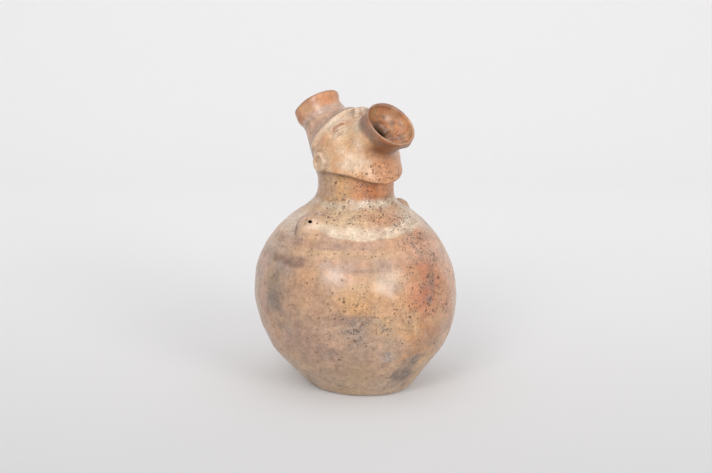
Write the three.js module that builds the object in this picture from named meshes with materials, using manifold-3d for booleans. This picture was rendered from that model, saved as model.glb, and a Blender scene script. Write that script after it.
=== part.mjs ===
// Spouted figural vessel of fired clay: a globular body and short neck carry a head that is tipped back.
// One flared spout leaves the mouth, a second one leaves the crown, and a pierced lug sits on each shoulder.
// Every piece that the potter shaped and luted on is its own mesh, and a film of slip is the gap between two.
// Millimetres and degrees, +Z up. The vessel stands on z = 0 and the figure faces -Y, so its right is -X.
import * as THREE from "three";
import { mergeVertices } from "three/addons/utils/BufferGeometryUtils.js";
import Module from "manifold-3d";

// Joints
const LUTE_GAP = 0.3;
const SCARF_RISE = 4;

// Body
const BODY_RADIUS = 75;
const SHOULDER_RISE = 73.3;
const BODY_WALL = 5.5;
const FOOT_RADIUS = 38;
const FLANK_SLOPE = 41.8;
const FOOT_EDGE_RADIUS = 2;
const BASE_THICKNESS = 6;

// Neck
const NECK_RADIUS = 28;
const NECK_WALL = 5;
const NECK_FLARE = 7.5;
const NECK_HEIGHT = 15.5;
const NECK_FILLET_RISE = 9;

// Head: heights are counted from the top of the neck
const JAW_RISE = 13.6;
const JAW_TILT = 11;
const SPRING_RISE = 21;
const SKULL_RISE = 56.6;
const SKULL_LEAN = 10;
const FACE_THICKNESS = 4.5;
const BROW_THICKNESS = 1.3;
const BROW_SETBACK = 1.5;
const BROW_TILT = 31;
const BROW_ROLL_RADIUS = 2;
const BROW_ROLL_SINK = 0.6;
const BROW_ARCH_HALF = 80;
const TEMPLE_RISE = 29;
const CHEEK_TILT = 39;

// Mouth spout, whose axis leaves the neck's axis at its hub
const MOUTH_HUB_RISE = 10.7;
const MOUTH_ELEVATION = 46.5;
const MOUTH_REACH = 53;
const MOUTH_LENGTH = 38;
const MOUTH_RIM_RADIUS = 18.8;
const MOUTH_BELLY_RADIUS = 18.4;
const MOUTH_TUBE_RADIUS = 15.8;
const MOUTH_BORE_RADIUS = 8;
const MOUTH_FLARE_LENGTH = 17;

// Crown spout and the hollow cone of the head that leads to it
const CROWN_HUB_RISE = 6.3;
const CROWN_ELEVATION = 49;
const CROWN_REACH = 64.8;
const CROWN_LENGTH = 14;
const CROWN_RIM_RADIUS = 17.2;
const CROWN_BELLY_RADIUS = 19.4;
const CROWN_TUBE_RADIUS = 16.8;
const CROWN_BORE_RADIUS = 12;
const CROWN_FLARE_LENGTH = 12;
const LIP_THICKNESS = 2.6;

// Applied features
const NOSE_SETOUT = 10.2;
const NOSE_LENGTH = 13;
const NOSE_WIDTH = 9;
const NOSE_HEIGHT = 5;
const NOSE_ROOT_SHARE = 0.6;
const EYE_AZIMUTH = 69;
const EYE_RISE = 46;
const EYE_TILT = 36;
const EYE_LENGTH = 11.5;
const EYE_WIDTH = 6.4;
const EYE_HEIGHT = 2.2;
const EYE_SLIT_LENGTH = 8;
const EYE_SLIT_WIDTH = 0.9;
const EYE_SLIT_DEPTH = 1.1;
const EAR_AZIMUTH = 98;
const EAR_RISE = 21.2;
const EAR_LENGTH = 15;
const EAR_WIDTH = 12.6;
const EAR_ROLL_RADIUS = 2;
const LUG_POLAR = 39.5;
const LUG_LENGTH = 20;
const LUG_THICKNESS = 14;
const LUG_HEIGHT = 6.6;
const LUG_HOLE_RADIUS = 1.3;
const LUG_HOLE_LIFT = 3.2;

// Facets
const BODY_SEGMENTS = 48;
const HEAD_SEGMENTS = 40;
const SPOUT_SEGMENTS = 32;
const CUTTER_SEGMENTS = 72;
const ARC_STEPS = 8;

const radians = THREE.MathUtils.degToRad;
const point = (r, z) => new THREE.Vector2(r, z);

// Places that follow from the sizes above.
// The flank rises from the foot's edge as a tangent to the body's circle.
const flankAngle = radians(FLANK_SLOPE);
const flankReach = BODY_RADIUS * Math.cos(flankAngle) - FOOT_RADIUS;
const BODY_CENTRE_Z = BODY_RADIUS * Math.sin(flankAngle) + flankReach / Math.tan(flankAngle);
const NECK_BORE_RADIUS = NECK_RADIUS - NECK_WALL;
const NECK_FOOT_RADIUS = NECK_RADIUS + NECK_FLARE;
const NECK_SEAT_Z = BODY_CENTRE_Z + SHOULDER_RISE * Math.sqrt(1 - (NECK_FOOT_RADIUS / BODY_RADIUS) ** 2);
const NECK_TOP_Z = NECK_SEAT_Z + LUTE_GAP + NECK_HEIGHT;
const SPRING_Z = NECK_TOP_Z + SPRING_RISE;
const SKULL_TOP_Z = NECK_TOP_Z + SKULL_RISE;
const FAR = 2 * (BODY_RADIUS + SKULL_TOP_Z);

const wasm = await Module();
wasm.setup();

// Solids and geometries

function solidOf(geometry) {
  const bare = geometry.clone();
  bare.deleteAttribute("normal");
  bare.deleteAttribute("uv");
  const merged = mergeVertices(bare, 1e-4);
  const vertProperties = merged.attributes.position.array;
  const triVerts = new Uint32Array(merged.index.array);
  return new wasm.Manifold(new wasm.Mesh({ numProp: 3, vertProperties, triVerts }));
}

function geometryOf(solid) {
  const { vertProperties, triVerts } = solid.getMesh();
  const geometry = new THREE.BufferGeometry();
  geometry.setAttribute("position", new THREE.BufferAttribute(vertProperties, 3));
  geometry.setIndex(new THREE.BufferAttribute(triVerts, 1));
  geometry.computeVertexNormals();
  return geometry;
}

// Turns an outline of (radius, height) points about +Z. The outline runs up the outside and down the inside.
function turned(outline, segments) {
  return new THREE.LatheGeometry(outline, segments).rotateX(Math.PI / 2);
}

function closed(outline) {
  return [...outline, outline[0].clone()];
}

// Body

// Points on the body's outline, shrunk by an inset, from one height to another.
// The outline is a circle below the widest level and a slightly flatter ellipse above it.
function bodyArc(inset, fromZ, toZ) {
  const radius = BODY_RADIUS - inset;
  const riseAt = (z) => (z > BODY_CENTRE_Z ? SHOULDER_RISE - inset : radius);
  const angleAt = (z) => Math.asin((z - BODY_CENTRE_Z) / riseAt(z));
  const from = angleAt(fromZ);
  const to = angleAt(toZ);
  return Array.from({ length: ARC_STEPS + 1 }, (_, i) => {
    const angle = from + ((to - from) * i) / ARC_STEPS;
    const rise = angle > 0 ? SHOULDER_RISE - inset : radius;
    return point(radius * Math.cos(angle), BODY_CENTRE_Z + rise * Math.sin(angle));
  });
}

// Where the straight flank, shrunk by an inset, meets the body's circle, and its radius at a lower height.
function flankTop(inset) {
  const radius = BODY_RADIUS - inset;
  return point(radius * Math.cos(flankAngle), BODY_CENTRE_Z - radius * Math.sin(flankAngle));
}

function flankRadius(inset, z) {
  const top = flankTop(inset);
  return top.x - (top.y - z) * Math.tan(flankAngle);
}

function baseDisc() {
  const edge = new THREE.Path();
  edge.absarc(FOOT_RADIUS - FOOT_EDGE_RADIUS, FOOT_EDGE_RADIUS, FOOT_EDGE_RADIUS, -Math.PI / 2, -flankAngle);
  const top = point(flankRadius(0, BASE_THICKNESS), BASE_THICKNESS);
  return turned([point(0, 0), ...edge.getPoints(4), top, point(0, BASE_THICKNESS)], BODY_SEGMENTS);
}

function lowerBowl() {
  const seatZ = BASE_THICKNESS + LUTE_GAP;
  const outside = [
    point(flankRadius(0, seatZ), seatZ),
    ...bodyArc(0, flankTop(0).y, BODY_CENTRE_Z + SCARF_RISE / 2),
  ];
  const inside = [
    ...bodyArc(BODY_WALL, BODY_CENTRE_Z - SCARF_RISE / 2, flankTop(BODY_WALL).y),
    point(flankRadius(BODY_WALL, seatZ), seatZ),
  ];
  return turned(closed([...outside, ...inside]), BODY_SEGMENTS);
}

// The shoulder ends in a flat ring under the neck, opened to the neck's bore.
function shoulderDome() {
  const boreShare = NECK_BORE_RADIUS / (BODY_RADIUS - BODY_WALL);
  const boreZ = BODY_CENTRE_Z + (SHOULDER_RISE - BODY_WALL) * Math.sqrt(1 - boreShare ** 2);
  const outside = bodyArc(0, BODY_CENTRE_Z + SCARF_RISE / 2 + LUTE_GAP, NECK_SEAT_Z);
  const inside = bodyArc(BODY_WALL, boreZ, BODY_CENTRE_Z - SCARF_RISE / 2 + LUTE_GAP);
  return turned(closed([...outside, point(NECK_BORE_RADIUS, NECK_SEAT_Z), ...inside]), BODY_SEGMENTS);
}

// The collar's foot carries on the slope of the shoulder and turns up into the neck.
function neckCollar() {
  const seatZ = NECK_SEAT_Z + LUTE_GAP;
  const flattening = (SHOULDER_RISE / BODY_RADIUS) ** 2;
  const shoulderSlope = (NECK_FOOT_RADIUS / (NECK_SEAT_Z - BODY_CENTRE_Z)) * flattening;
  const turnZ = seatZ + (NECK_FOOT_RADIUS - NECK_RADIUS) * shoulderSlope;
  const fillet = new THREE.QuadraticBezierCurve(
    point(NECK_FOOT_RADIUS, seatZ),
    point(NECK_RADIUS, turnZ),
    point(NECK_RADIUS, seatZ + NECK_FILLET_RISE),
  );
  const top = [point(NECK_RADIUS, NECK_TOP_Z), point(NECK_BORE_RADIUS, NECK_TOP_Z)];
  const outline = [...fillet.getPoints(5), ...top, point(NECK_BORE_RADIUS, seatZ)];
  return turned(closed(outline), BODY_SEGMENTS);
}

// A pierced lug is a rounded pad cut to the shoulder's curve. Side is -1 for the figure's right.
function lug(side) {
  const polar = radians(LUG_POLAR);
  const foot = new THREE.Vector3(side * BODY_RADIUS * Math.sin(polar), 0, SHOULDER_RISE * Math.cos(polar));
  const outward = new THREE.Vector3(foot.x / BODY_RADIUS ** 2, 0, foot.z / SHOULDER_RISE ** 2).normalize();
  const downhill = new THREE.Vector3(side * outward.z, 0, -side * outward.x);
  const frame = new THREE.Matrix4().makeBasis(downhill, outward.clone().cross(downhill), outward);
  frame.setPosition(foot.x, 0, BODY_CENTRE_Z + foot.z);
  const pad = new THREE.SphereGeometry(1, 24, 16).scale(LUG_LENGTH / 2, LUG_THICKNESS / 2, LUG_HEIGHT);
  const hole = new THREE.CylinderGeometry(LUG_HOLE_RADIUS, LUG_HOLE_RADIUS, 2 * LUG_THICKNESS, 16);
  hole.translate(0, 0, LUG_HOLE_LIFT);
  const pierced = geometryOf(solidOf(pad).subtract(solidOf(hole))).applyMatrix4(frame);
  const seat = new THREE.SphereGeometry(1, CUTTER_SEGMENTS, CUTTER_SEGMENTS / 2).rotateX(Math.PI / 2);
  seat.scale(BODY_RADIUS + LUTE_GAP, BODY_RADIUS + LUTE_GAP, SHOULDER_RISE + LUTE_GAP);
  seat.translate(0, 0, BODY_CENTRE_Z);
  return geometryOf(solidOf(pierced).subtract(solidOf(seat)));
}

// Head

// The head is a cylinder over the neck that closes as a dome, half an ellipse that leans back as it rises.
// Skull and face are two such domes, and either can be grown by a clearance.
const skull = { radius: NECK_RADIUS, rise: SKULL_TOP_Z - SPRING_Z };
const face = { radius: skull.radius + FACE_THICKNESS, rise: skull.rise + BROW_THICKNESS };
const grown = (dome, by) => ({ radius: dome.radius + by, rise: dome.rise + by });
const leanAt = (z) => Math.max(0, z - SPRING_Z) * Math.tan(radians(SKULL_LEAN));

function domeSolid(dome, bottomZ, segments) {
  const quarter = Array.from({ length: ARC_STEPS + 1 }, (_, i) => {
    const angle = ((Math.PI / 2) * i) / ARC_STEPS;
    return point(dome.radius * Math.cos(angle), SPRING_Z + dome.rise * Math.sin(angle));
  });
  quarter[ARC_STEPS].x = 0;
  const geometry = turned([point(0, bottomZ), point(dome.radius, bottomZ), ...quarter], segments);
  const places = geometry.attributes.position;
  for (let i = 0; i < places.count; i++) {
    places.setY(i, places.getY(i) + leanAt(places.getZ(i)));
  }
  return solidOf(geometry);
}

// Where a line from inside the dome leaves it.
function leavesDome(origin, direction, dome) {
  const outside = (p) => {
    const height = Math.max(0, p.z - SPRING_Z) / dome.rise;
    return (Math.hypot(p.x, p.y - leanAt(p.z)) / dome.radius) ** 2 + height ** 2 > 1;
  };
  let near = 0;
  let far = FAR;
  while (far - near > 1e-4) {
    const middle = (near + far) / 2;
    if (outside(origin.clone().addScaledVector(direction, middle))) far = middle;
    else near = middle;
  }
  return origin.clone().addScaledVector(direction, near);
}

// The dome's outward normal at a point on its surface.
function domeNormal(p, dome) {
  const x = p.x / dome.radius ** 2;
  const y = (p.y - leanAt(p.z)) / dome.radius ** 2;
  const height = Math.max(0, p.z - SPRING_Z) / dome.rise ** 2;
  const lean = p.z > SPRING_Z ? Math.tan(radians(SKULL_LEAN)) : 0;
  return new THREE.Vector3(x, y, height - lean * y).normalize();
}

// A spout's frame has its origin at the hub on the neck's axis and +Z along the spout.
// Side is -1 to the front.
function spoutFrame(hubRise, elevation, side) {
  const lean = side * (Math.PI / 2 - radians(elevation));
  return new THREE.Matrix4().makeRotationX(-lean).setPosition(0, 0, NECK_TOP_Z + hubRise);
}

const mouthFrame = spoutFrame(MOUTH_HUB_RISE, MOUTH_ELEVATION, -1);
const crownFrame = spoutFrame(CROWN_HUB_RISE, CROWN_ELEVATION, 1);
const crownSeat = CROWN_REACH - CROWN_LENGTH;

// The solid cone from the neck back to the crown spout, grown by an offset and run on past its seat.
function crownCone(offset, runOn) {
  const taper = (NECK_RADIUS - CROWN_TUBE_RADIUS) / crownSeat;
  const wide = point(NECK_RADIUS + offset, 0);
  const narrow = point(CROWN_TUBE_RADIUS + offset - taper * runOn, crownSeat + runOn);
  const cone = turned([point(0, 0), wide, narrow, point(0, narrow.y)], HEAD_SEGMENTS);
  return solidOf(cone.applyMatrix4(crownFrame));
}

// A spout's outside, grown by a clearance: a straight tube that swells to a belly below its lip.
function spoutOutside({ length, flare, tube, belly, rim }, growth) {
  const swelling = new THREE.QuadraticBezierCurve(
    point(tube + growth, length - flare),
    point(belly + growth, length - flare / 2),
    point(rim + growth, length - LIP_THICKNESS / 2),
  );
  return [point(tube + growth, 0), ...swelling.getPoints(5)];
}

// A spout turned about its own axis, with a rounded lip and an inside that opens from the bore to the lip.
function spoutTube(sizes) {
  const { length, flare, bore, rim } = sizes;
  const lip = LIP_THICKNESS / 2;
  const roundLip = new THREE.Path().absarc(rim - lip, length - lip, lip, 0, Math.PI);
  const opening = new THREE.QuadraticBezierCurve(
    point(rim - LIP_THICKNESS, length - lip),
    point((rim + bore) / 2, length - flare / 2),
    point(bore, length - flare),
  );
  const outside = spoutOutside(sizes, 0);
  const inside = [...opening.getPoints(5), point(bore, 0)];
  return turned(closed([...outside, ...roundLip.getPoints(4).slice(1, -1), ...inside]), SPOUT_SEGMENTS);
}

const mouthSizes = {
  length: MOUTH_LENGTH,
  flare: MOUTH_FLARE_LENGTH,
  tube: MOUTH_TUBE_RADIUS,
  belly: MOUTH_BELLY_RADIUS,
  bore: MOUTH_BORE_RADIUS,
  rim: MOUTH_RIM_RADIUS,
};
const crownSizes = {
  length: CROWN_LENGTH - LUTE_GAP,
  flare: CROWN_FLARE_LENGTH,
  tube: CROWN_TUBE_RADIUS,
  belly: CROWN_BELLY_RADIUS,
  bore: CROWN_BORE_RADIUS,
  rim: CROWN_RIM_RADIUS,
};
const atMouth = (geometry) => geometry.translate(0, 0, MOUTH_REACH - MOUTH_LENGTH).applyMatrix4(mouthFrame);

// The hole in face and skull that the mouth spout passes through.
function mouthHole() {
  const outside = spoutOutside(mouthSizes, LUTE_GAP);
  const outline = [point(0, 0), ...outside, point(0, outside.at(-1).y)];
  return solidOf(atMouth(turned(outline, SPOUT_SEGMENTS)));
}

// The mouth spout is trimmed flush inside the head.
function mouthSpout() {
  const hollow = domeSolid(grown(skull, -NECK_WALL), NECK_TOP_Z, CUTTER_SEGMENTS);
  return geometryOf(solidOf(atMouth(spoutTube(mouthSizes))).subtract(hollow));
}

// The crown spout stands on the end of the head's cone.
function crownSpout() {
  return spoutTube(crownSizes).translate(0, 0, crownSeat + LUTE_GAP).applyMatrix4(crownFrame);
}

// Everything above a height.
function above(z) {
  return solidOf(new THREE.BoxGeometry(FAR, FAR, FAR).translate(0, 0, z + FAR / 2));
}

// The head is one hollow with the neck, the cone to the crown and the mouth's hole.
function headShell() {
  const bottomZ = NECK_TOP_Z - NECK_RADIUS;
  const outside = domeSolid(skull, bottomZ, HEAD_SEGMENTS).add(crownCone(0, 0));
  const inside = domeSolid(grown(skull, -NECK_WALL), bottomZ, HEAD_SEGMENTS);
  const throat = crownCone(CROWN_BORE_RADIUS - CROWN_TUBE_RADIUS, LIP_THICKNESS);
  const shell = outside.subtract(inside).subtract(throat).subtract(mouthHole());
  return geometryOf(shell.intersect(above(NECK_TOP_Z + LUTE_GAP)));
}

// The face ends at three planes across the head. The brow plane leans back as it comes down from the top,
// the cheek plane comes forward again below the temples, and the jaw plane drops towards the chin.
const browTop = new THREE.Vector3(0, BROW_SETBACK, SPRING_Z + face.rise);
const browUp = new THREE.Vector3(0, -Math.sin(radians(BROW_TILT)), Math.cos(radians(BROW_TILT)));
const browBack = new THREE.Vector3(0, browUp.z, -browUp.y);
const templeZ = NECK_TOP_Z + TEMPLE_RISE;
const templeY = browTop.y + (browTop.z - templeZ) * Math.tan(radians(BROW_TILT));
const jawZ = NECK_TOP_Z + JAW_RISE;

function faceSlab() {
  const bottomZ = NECK_TOP_Z - NECK_RADIUS;
  const inFront = () => new THREE.BoxGeometry(FAR, FAR, FAR).translate(0, -FAR / 2, 0);
  const brow = inFront().rotateX(radians(BROW_TILT)).translate(0, browTop.y, browTop.z);
  const cheek = inFront().rotateX(-radians(CHEEK_TILT)).translate(0, templeY, templeZ);
  const jaw = new THREE.BoxGeometry(FAR, FAR, FAR).translate(0, 0, FAR / 2);
  jaw.rotateX(radians(JAW_TILT)).translate(0, 0, jawZ);
  const slab = domeSolid(face, bottomZ, HEAD_SEGMENTS);
  const seat = domeSolid(grown(skull, LUTE_GAP), bottomZ, CUTTER_SEGMENTS).add(crownCone(LUTE_GAP, 0));
  const mask = [brow, cheek, jaw].reduce((solid, cut) => solid.intersect(solidOf(cut)), slab);
  return geometryOf(mask.subtract(seat).subtract(mouthHole()));
}

// Cuts an applied feature to the face that it sits on.
function seatedOnFace(geometry) {
  const seat = domeSolid(grown(face, LUTE_GAP), NECK_TOP_Z, CUTTER_SEGMENTS);
  return geometryOf(solidOf(geometry).subtract(seat));
}

// A point on the face at an azimuth from the front towards one side, and a height above the neck.
function facePoint(side, azimuth, rise) {
  const origin = new THREE.Vector3(0, leanAt(NECK_TOP_Z + rise), NECK_TOP_Z + rise);
  const direction = new THREE.Vector3(side * Math.sin(radians(azimuth)), -Math.cos(radians(azimuth)), 0);
  return leavesDome(origin, direction, face);
}

// A frame on the face: X forward along the horizon and turned up by a tilt, Z out of the face.
function faceFrame(position, side, tilt) {
  const out = domeNormal(position, face);
  const level = new THREE.Vector3(out.y, -out.x, 0).normalize().multiplyScalar(side);
  const forward = level.applyAxisAngle(out, -side * radians(tilt));
  return new THREE.Matrix4().makeBasis(forward, out.clone().cross(forward), out).setPosition(position);
}

// One roll of clay laid along the face's upper edge, from one temple over the top to the other.
function browRoll() {
  const inFront = browTop.clone().addScaledVector(browBack, -BROW_ROLL_RADIUS);
  const hub = inFront.addScaledVector(browUp, -NECK_RADIUS);
  const steps = 2 * ARC_STEPS;
  const arch = Array.from({ length: steps + 1 }, (_, i) => {
    const angle = radians(BROW_ARCH_HALF) * ((2 * i) / steps - 1);
    const direction = browUp.clone().multiplyScalar(Math.cos(angle));
    direction.x = Math.sin(angle);
    return leavesDome(hub, direction, grown(face, -BROW_ROLL_SINK));
  });
  const section = new THREE.Shape().absarc(0, 0, BROW_ROLL_RADIUS, 0, 2 * Math.PI);
  const extrudePath = new THREE.CatmullRomCurve3(arch);
  const roll = new THREE.ExtrudeGeometry(section, { steps: 2 * steps, curveSegments: 4, extrudePath });
  return seatedOnFace(roll);
}

// The nose is a drop that narrows towards the brow and ends against the mouth spout.
function nose() {
  const up = new THREE.Vector3(0, 0, 1);
  const position = leavesDome(new THREE.Vector3(0, -NOSE_SETOUT, SPRING_Z), up, face);
  const out = domeNormal(position, face);
  const side = new THREE.Vector3(1, 0, 0);
  const frame = new THREE.Matrix4().makeBasis(side.clone().cross(out), side, out).setPosition(position);
  const drop = new THREE.SphereGeometry(1, 16, 12);
  const places = drop.attributes.position;
  for (let i = 0; i < places.count; i++) {
    const towardsRoot = (1 - places.getX(i)) / 2;
    const share = 1 - (1 - NOSE_ROOT_SHARE) * towardsRoot;
    places.setY(i, places.getY(i) * share);
    places.setZ(i, places.getZ(i) * share);
  }
  drop.scale(NOSE_LENGTH / 2, NOSE_WIDTH / 2, NOSE_HEIGHT);
  const seated = solidOf(seatedOnFace(drop.applyMatrix4(frame)));
  return geometryOf(seated.subtract(mouthHole()));
}

// An eye is an almond of clay with a slit pressed along it.
function eye(side) {
  const frame = faceFrame(facePoint(side, EYE_AZIMUTH, EYE_RISE), side, EYE_TILT);
  const almond = new THREE.SphereGeometry(1, 16, 10);
  almond.scale(EYE_LENGTH / 2, EYE_WIDTH / 2, EYE_HEIGHT);
  const slit = new THREE.BoxGeometry(EYE_SLIT_LENGTH, EYE_SLIT_WIDTH, 2 * EYE_SLIT_DEPTH);
  slit.translate(0, 0, EYE_HEIGHT);
  const pressed = solidOf(almond).subtract(solidOf(slit));
  return seatedOnFace(geometryOf(pressed).applyMatrix4(frame));
}

// An ear is an oval ring of rolled clay.
function ear(side) {
  const frame = faceFrame(facePoint(side, EAR_AZIMUTH, EAR_RISE), side, 0);
  const ring = new THREE.TorusGeometry(EAR_WIDTH / 2 - EAR_ROLL_RADIUS, EAR_ROLL_RADIUS, 8, 24);
  const places = ring.attributes.position;
  for (let i = 0; i < places.count; i++) {
    const angle = Math.atan2(places.getY(i), places.getX(i));
    places.setY(i, places.getY(i) + ((EAR_LENGTH - EAR_WIDTH) / 2) * Math.sin(angle));
  }
  return seatedOnFace(ring.applyMatrix4(frame));
}

// Clay colours
const BUFF = 0xc2976f;
const ROSE = 0xc88f6d;
const PALE = 0xd0aa84;
const RIM = 0xb9805a;
const CLAY_ROUGHNESS = 0.5;

function piece(name, geometry, color) {
  const material = new THREE.MeshStandardMaterial({ color, roughness: CLAY_ROUGHNESS, metalness: 0 });
  const mesh = new THREE.Mesh(geometry, material);
  mesh.name = name;
  return mesh;
}

const body = new THREE.Group();
body.add(
  piece("base_disc", baseDisc(), BUFF),
  piece("lower_bowl", lowerBowl(), BUFF),
  piece("shoulder_dome", shoulderDome(), ROSE),
  piece("right_lug", lug(-1), PALE),
  piece("left_lug", lug(1), PALE),
);

const head = new THREE.Group();
head.add(
  piece("neck_collar", neckCollar(), ROSE),
  piece("head_shell", headShell(), BUFF),
  piece("face_slab", faceSlab(), PALE),
  piece("brow_roll", browRoll(), PALE),
  piece("nose", nose(), PALE),
  piece("right_eye", eye(-1), PALE),
  piece("left_eye", eye(1), PALE),
  piece("right_ear", ear(-1), PALE),
  piece("left_ear", ear(1), PALE),
  piece("mouth_spout", mouthSpout(), RIM),
  piece("crown_spout", crownSpout(), RIM),
);

const vessel = new THREE.Group();
vessel.add(body, head);

export default vessel;
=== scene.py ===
# Looks for a spouted figural vessel of burnished clay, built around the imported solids.
# Shapes are worked out in millimetres in the row frame. Meshes are made in metres.
import math

import bpy
import numpy as np
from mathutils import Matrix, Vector


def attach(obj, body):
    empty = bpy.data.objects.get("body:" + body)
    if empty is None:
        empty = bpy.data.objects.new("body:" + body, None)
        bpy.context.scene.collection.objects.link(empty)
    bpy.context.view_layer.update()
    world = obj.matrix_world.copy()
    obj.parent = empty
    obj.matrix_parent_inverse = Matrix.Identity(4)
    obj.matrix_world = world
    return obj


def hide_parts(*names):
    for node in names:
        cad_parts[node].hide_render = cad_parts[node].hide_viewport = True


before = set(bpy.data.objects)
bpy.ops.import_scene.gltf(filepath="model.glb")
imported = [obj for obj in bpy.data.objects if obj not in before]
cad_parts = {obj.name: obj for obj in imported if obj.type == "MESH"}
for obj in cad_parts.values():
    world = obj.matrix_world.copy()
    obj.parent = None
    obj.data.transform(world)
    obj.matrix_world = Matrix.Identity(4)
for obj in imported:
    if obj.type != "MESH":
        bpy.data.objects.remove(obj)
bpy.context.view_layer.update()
MM = 0.001


def direction(azimuth, elevation):
    """Unit vector towards a viewer. Azimuth 0 is in front of the face, positive towards the figure's left."""
    a, e = math.radians(azimuth), math.radians(elevation)
    return np.array([math.sin(a) * math.cos(e), -math.cos(a) * math.cos(e), math.sin(e)])


# Body and neck
BODY_RADIUS = 75
SHOULDER_RISE = 73.3
FOOT_RADIUS = 38
FLANK_SLOPE = math.radians(41.8)
FOOT_EDGE = 3.2
NECK_RADIUS = 28
NECK_FILLET = 11
BODY_CENTRE_Z = BODY_RADIUS * math.sin(FLANK_SLOPE) + (
    BODY_RADIUS * math.cos(FLANK_SLOPE) - FOOT_RADIUS) / math.tan(FLANK_SLOPE)
BASE_TOP_Z = 6
NECK_SEAT_Z = 134.6
NECK_TOP_Z = 150.4
BODY_WALL = 5.5
HEAD_WALL = 5

# Head and face
SPRING_Z = NECK_TOP_Z + 21
SKULL_RISE = 35.6
SKULL_LEAN = math.tan(math.radians(10))
FACE_THICKNESS = 4.5
FACE_RISE = SKULL_RISE - 0.2
BROW_TOP = np.array([0, 2.9, SPRING_Z + 37.2])
BROW_TILT = math.radians(28.6)
BROW_ROLL = 1.8
BROW_ROLL_BACK = 2.6
TEMPLE = np.array([0, 18.9, NECK_TOP_Z + 29])
CHEEK_TILT = math.radians(39)
JAW_Z = NECK_TOP_Z + 14.2
JAW_DROP = 8
JOWL = 1.7
CHIN_SWELL = 0.6
CHIN_Z = 159
CHIN_DIP = 0.8
CHIN_DIP_Z = 168.5

# Mouth spout. The bowl is its flared hollow, the muzzle the swelling of the face round its root.
MOUTH_HUB = np.array([0, 0, NECK_TOP_Z + 10.7])
MOUTH_AXIS = direction(0, 46.5)
MOUTH_UP = np.array([0, MOUTH_AXIS[2], -MOUTH_AXIS[1]])
MOUTH_REACH = 53
MOUTH_TUBE = 16.4
MOUTH_SEAM = 16
MOUTH_CLEAR = 24
MOUTH_BOWL_RADIUS = 18
MOUTH_BOWL_DEPTH = 12.5
MUZZLE_RADIUS = 17.4
MUZZLE_FLARE = 3.4
MUZZLE_UNDERCUT = 5
LIP_FLARE = 3
LIP_CORNER = 1.7
LIP_RADIUS = 18.6
THROAT_MOUTH = np.array([-1.8, -27, 193.4])
THROAT_END = np.array([0, -8, 172])
THROAT_RADIUS = 5.4
THROAT_FLARE = 4
MOUTH_CRUMBS = np.array([7, -32.5, 188.5])

# Crown spout
CROWN_HUB = np.array([0, 0, NECK_TOP_Z + 6.3])
CROWN_AXIS = direction(180, 49)
CROWN_REACH = 65.4
CROWN_SEAT = 50.8
CROWN_TUBE = 16.8
CROWN_SEAM = 12.6
CROWN_BORE = 11.6
CROWN_FLARE = 3.4
COLLAR_NARROW_SIDE = np.array([0.718, -0.525, 0.456])
COLLAR_BELLY = 2.1
COLLAR_WAIST = 0.8
COLLAR_LIP = 0.9
CONE_TAPER = (NECK_RADIUS - CROWN_TUBE) / CROWN_SEAT
CONE_ROOT = 3

# Lugs: foot, half sizes down, across and out, and the place of the cord hole's mouth ahead and out
LUGS = {"right_lug": (np.array([-46.6, -1.6, 127.4]), (9.6, 8, 5), (5.6, 4.1)),
        "left_lug": (np.array([45.2, -2, 127.6]), (7.4, 5.6, 5.4), (3.6, 4.3))}
LUG_LIFT = 0.2
LUG_RIM = 15
LUG_ROOT = 1.6
LUG_REACH = 20
HOLE_RADIUS = 1.05
HOLE_TILT = math.radians(30)
HOLE_DEPTH = 4.2
HOLE_LENGTH = 18

# Net: box and cell of each form, the value that fills a cell's corner, and how near vertices may lie
BODY_BOX = np.array([(-78, -78, -3), (78, 78, NECK_TOP_Z + 5)])
HEAD_BOX = np.array([(-40, -58, NECK_TOP_Z - 5), (40, 64, 222)])
BODY_CELL = 1.3
HEAD_CELL = 0.7
LUG_CELL = 0.45
FILLED = -1e-3
TWIN_GAP = 0.04

# Camera at the photograph's angle: its focal length is in pixels of the photograph
CAMERA_AZIMUTH = -43
CAMERA_ELEVATION = 13
CAMERA_DISTANCE = 1.5
CAMERA_AIM = np.array([0, 0, 0.111])
FOCAL_LENGTH = 2025
PHOTO_WIDTH = 712
SENSOR_WIDTH = 36
SIDEWAYS = direction(CAMERA_AZIMUTH + 90, 0)


# Distance fields: negative inside the clay, with x, y and z in the last axis

def split(p):
    return p[..., 0], p[..., 1], p[..., 2]


def unit(v):
    return v / np.maximum(np.linalg.norm(v, axis=-1, keepdims=True), 1e-9)


def smooth_min(a, b, k):
    h = np.maximum(k - np.abs(a - b), 0) / k
    return np.minimum(a, b) - 0.25 * k * h * h


def smooth_max(a, b, k):
    return -smooth_min(-a, -b, k)


def hump(value, centre, width):
    return np.exp(-(((value - centre) / width) ** 2))


def step(value, low, high):
    t = np.clip((value - low) / (high - low), 0, 1)
    return t * t * (3 - 2 * t)


def fall(value, low, high):
    return 1 - step(value, low, high)


def beyond(p, point, normal):
    return (p - point) @ np.asarray(normal)


def along(p, hub, axis):
    """How far along an axis a point is, and how far from it."""
    q = p - hub
    run = q @ axis
    return run, np.sqrt(np.maximum((q * q).sum(-1) - run * run, 0))


def rod(p, a, b, radius):
    t = np.clip(((p - a) @ (b - a)) / ((b - a) @ (b - a)), 0, 1)
    return np.linalg.norm(p - a - t[..., None] * (b - a), axis=-1) - radius


def ellipsoid(p, centre, axes, sizes):
    """Axes are the rows of a rotation, sizes the half lengths along them."""
    q = (p - centre) @ axes.T / np.asarray(sizes)
    k = np.linalg.norm(q, axis=-1)
    slope = np.linalg.norm(q / np.asarray(sizes), axis=-1)
    return k * (k - 1) / np.maximum(slope, 1e-6)


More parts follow.
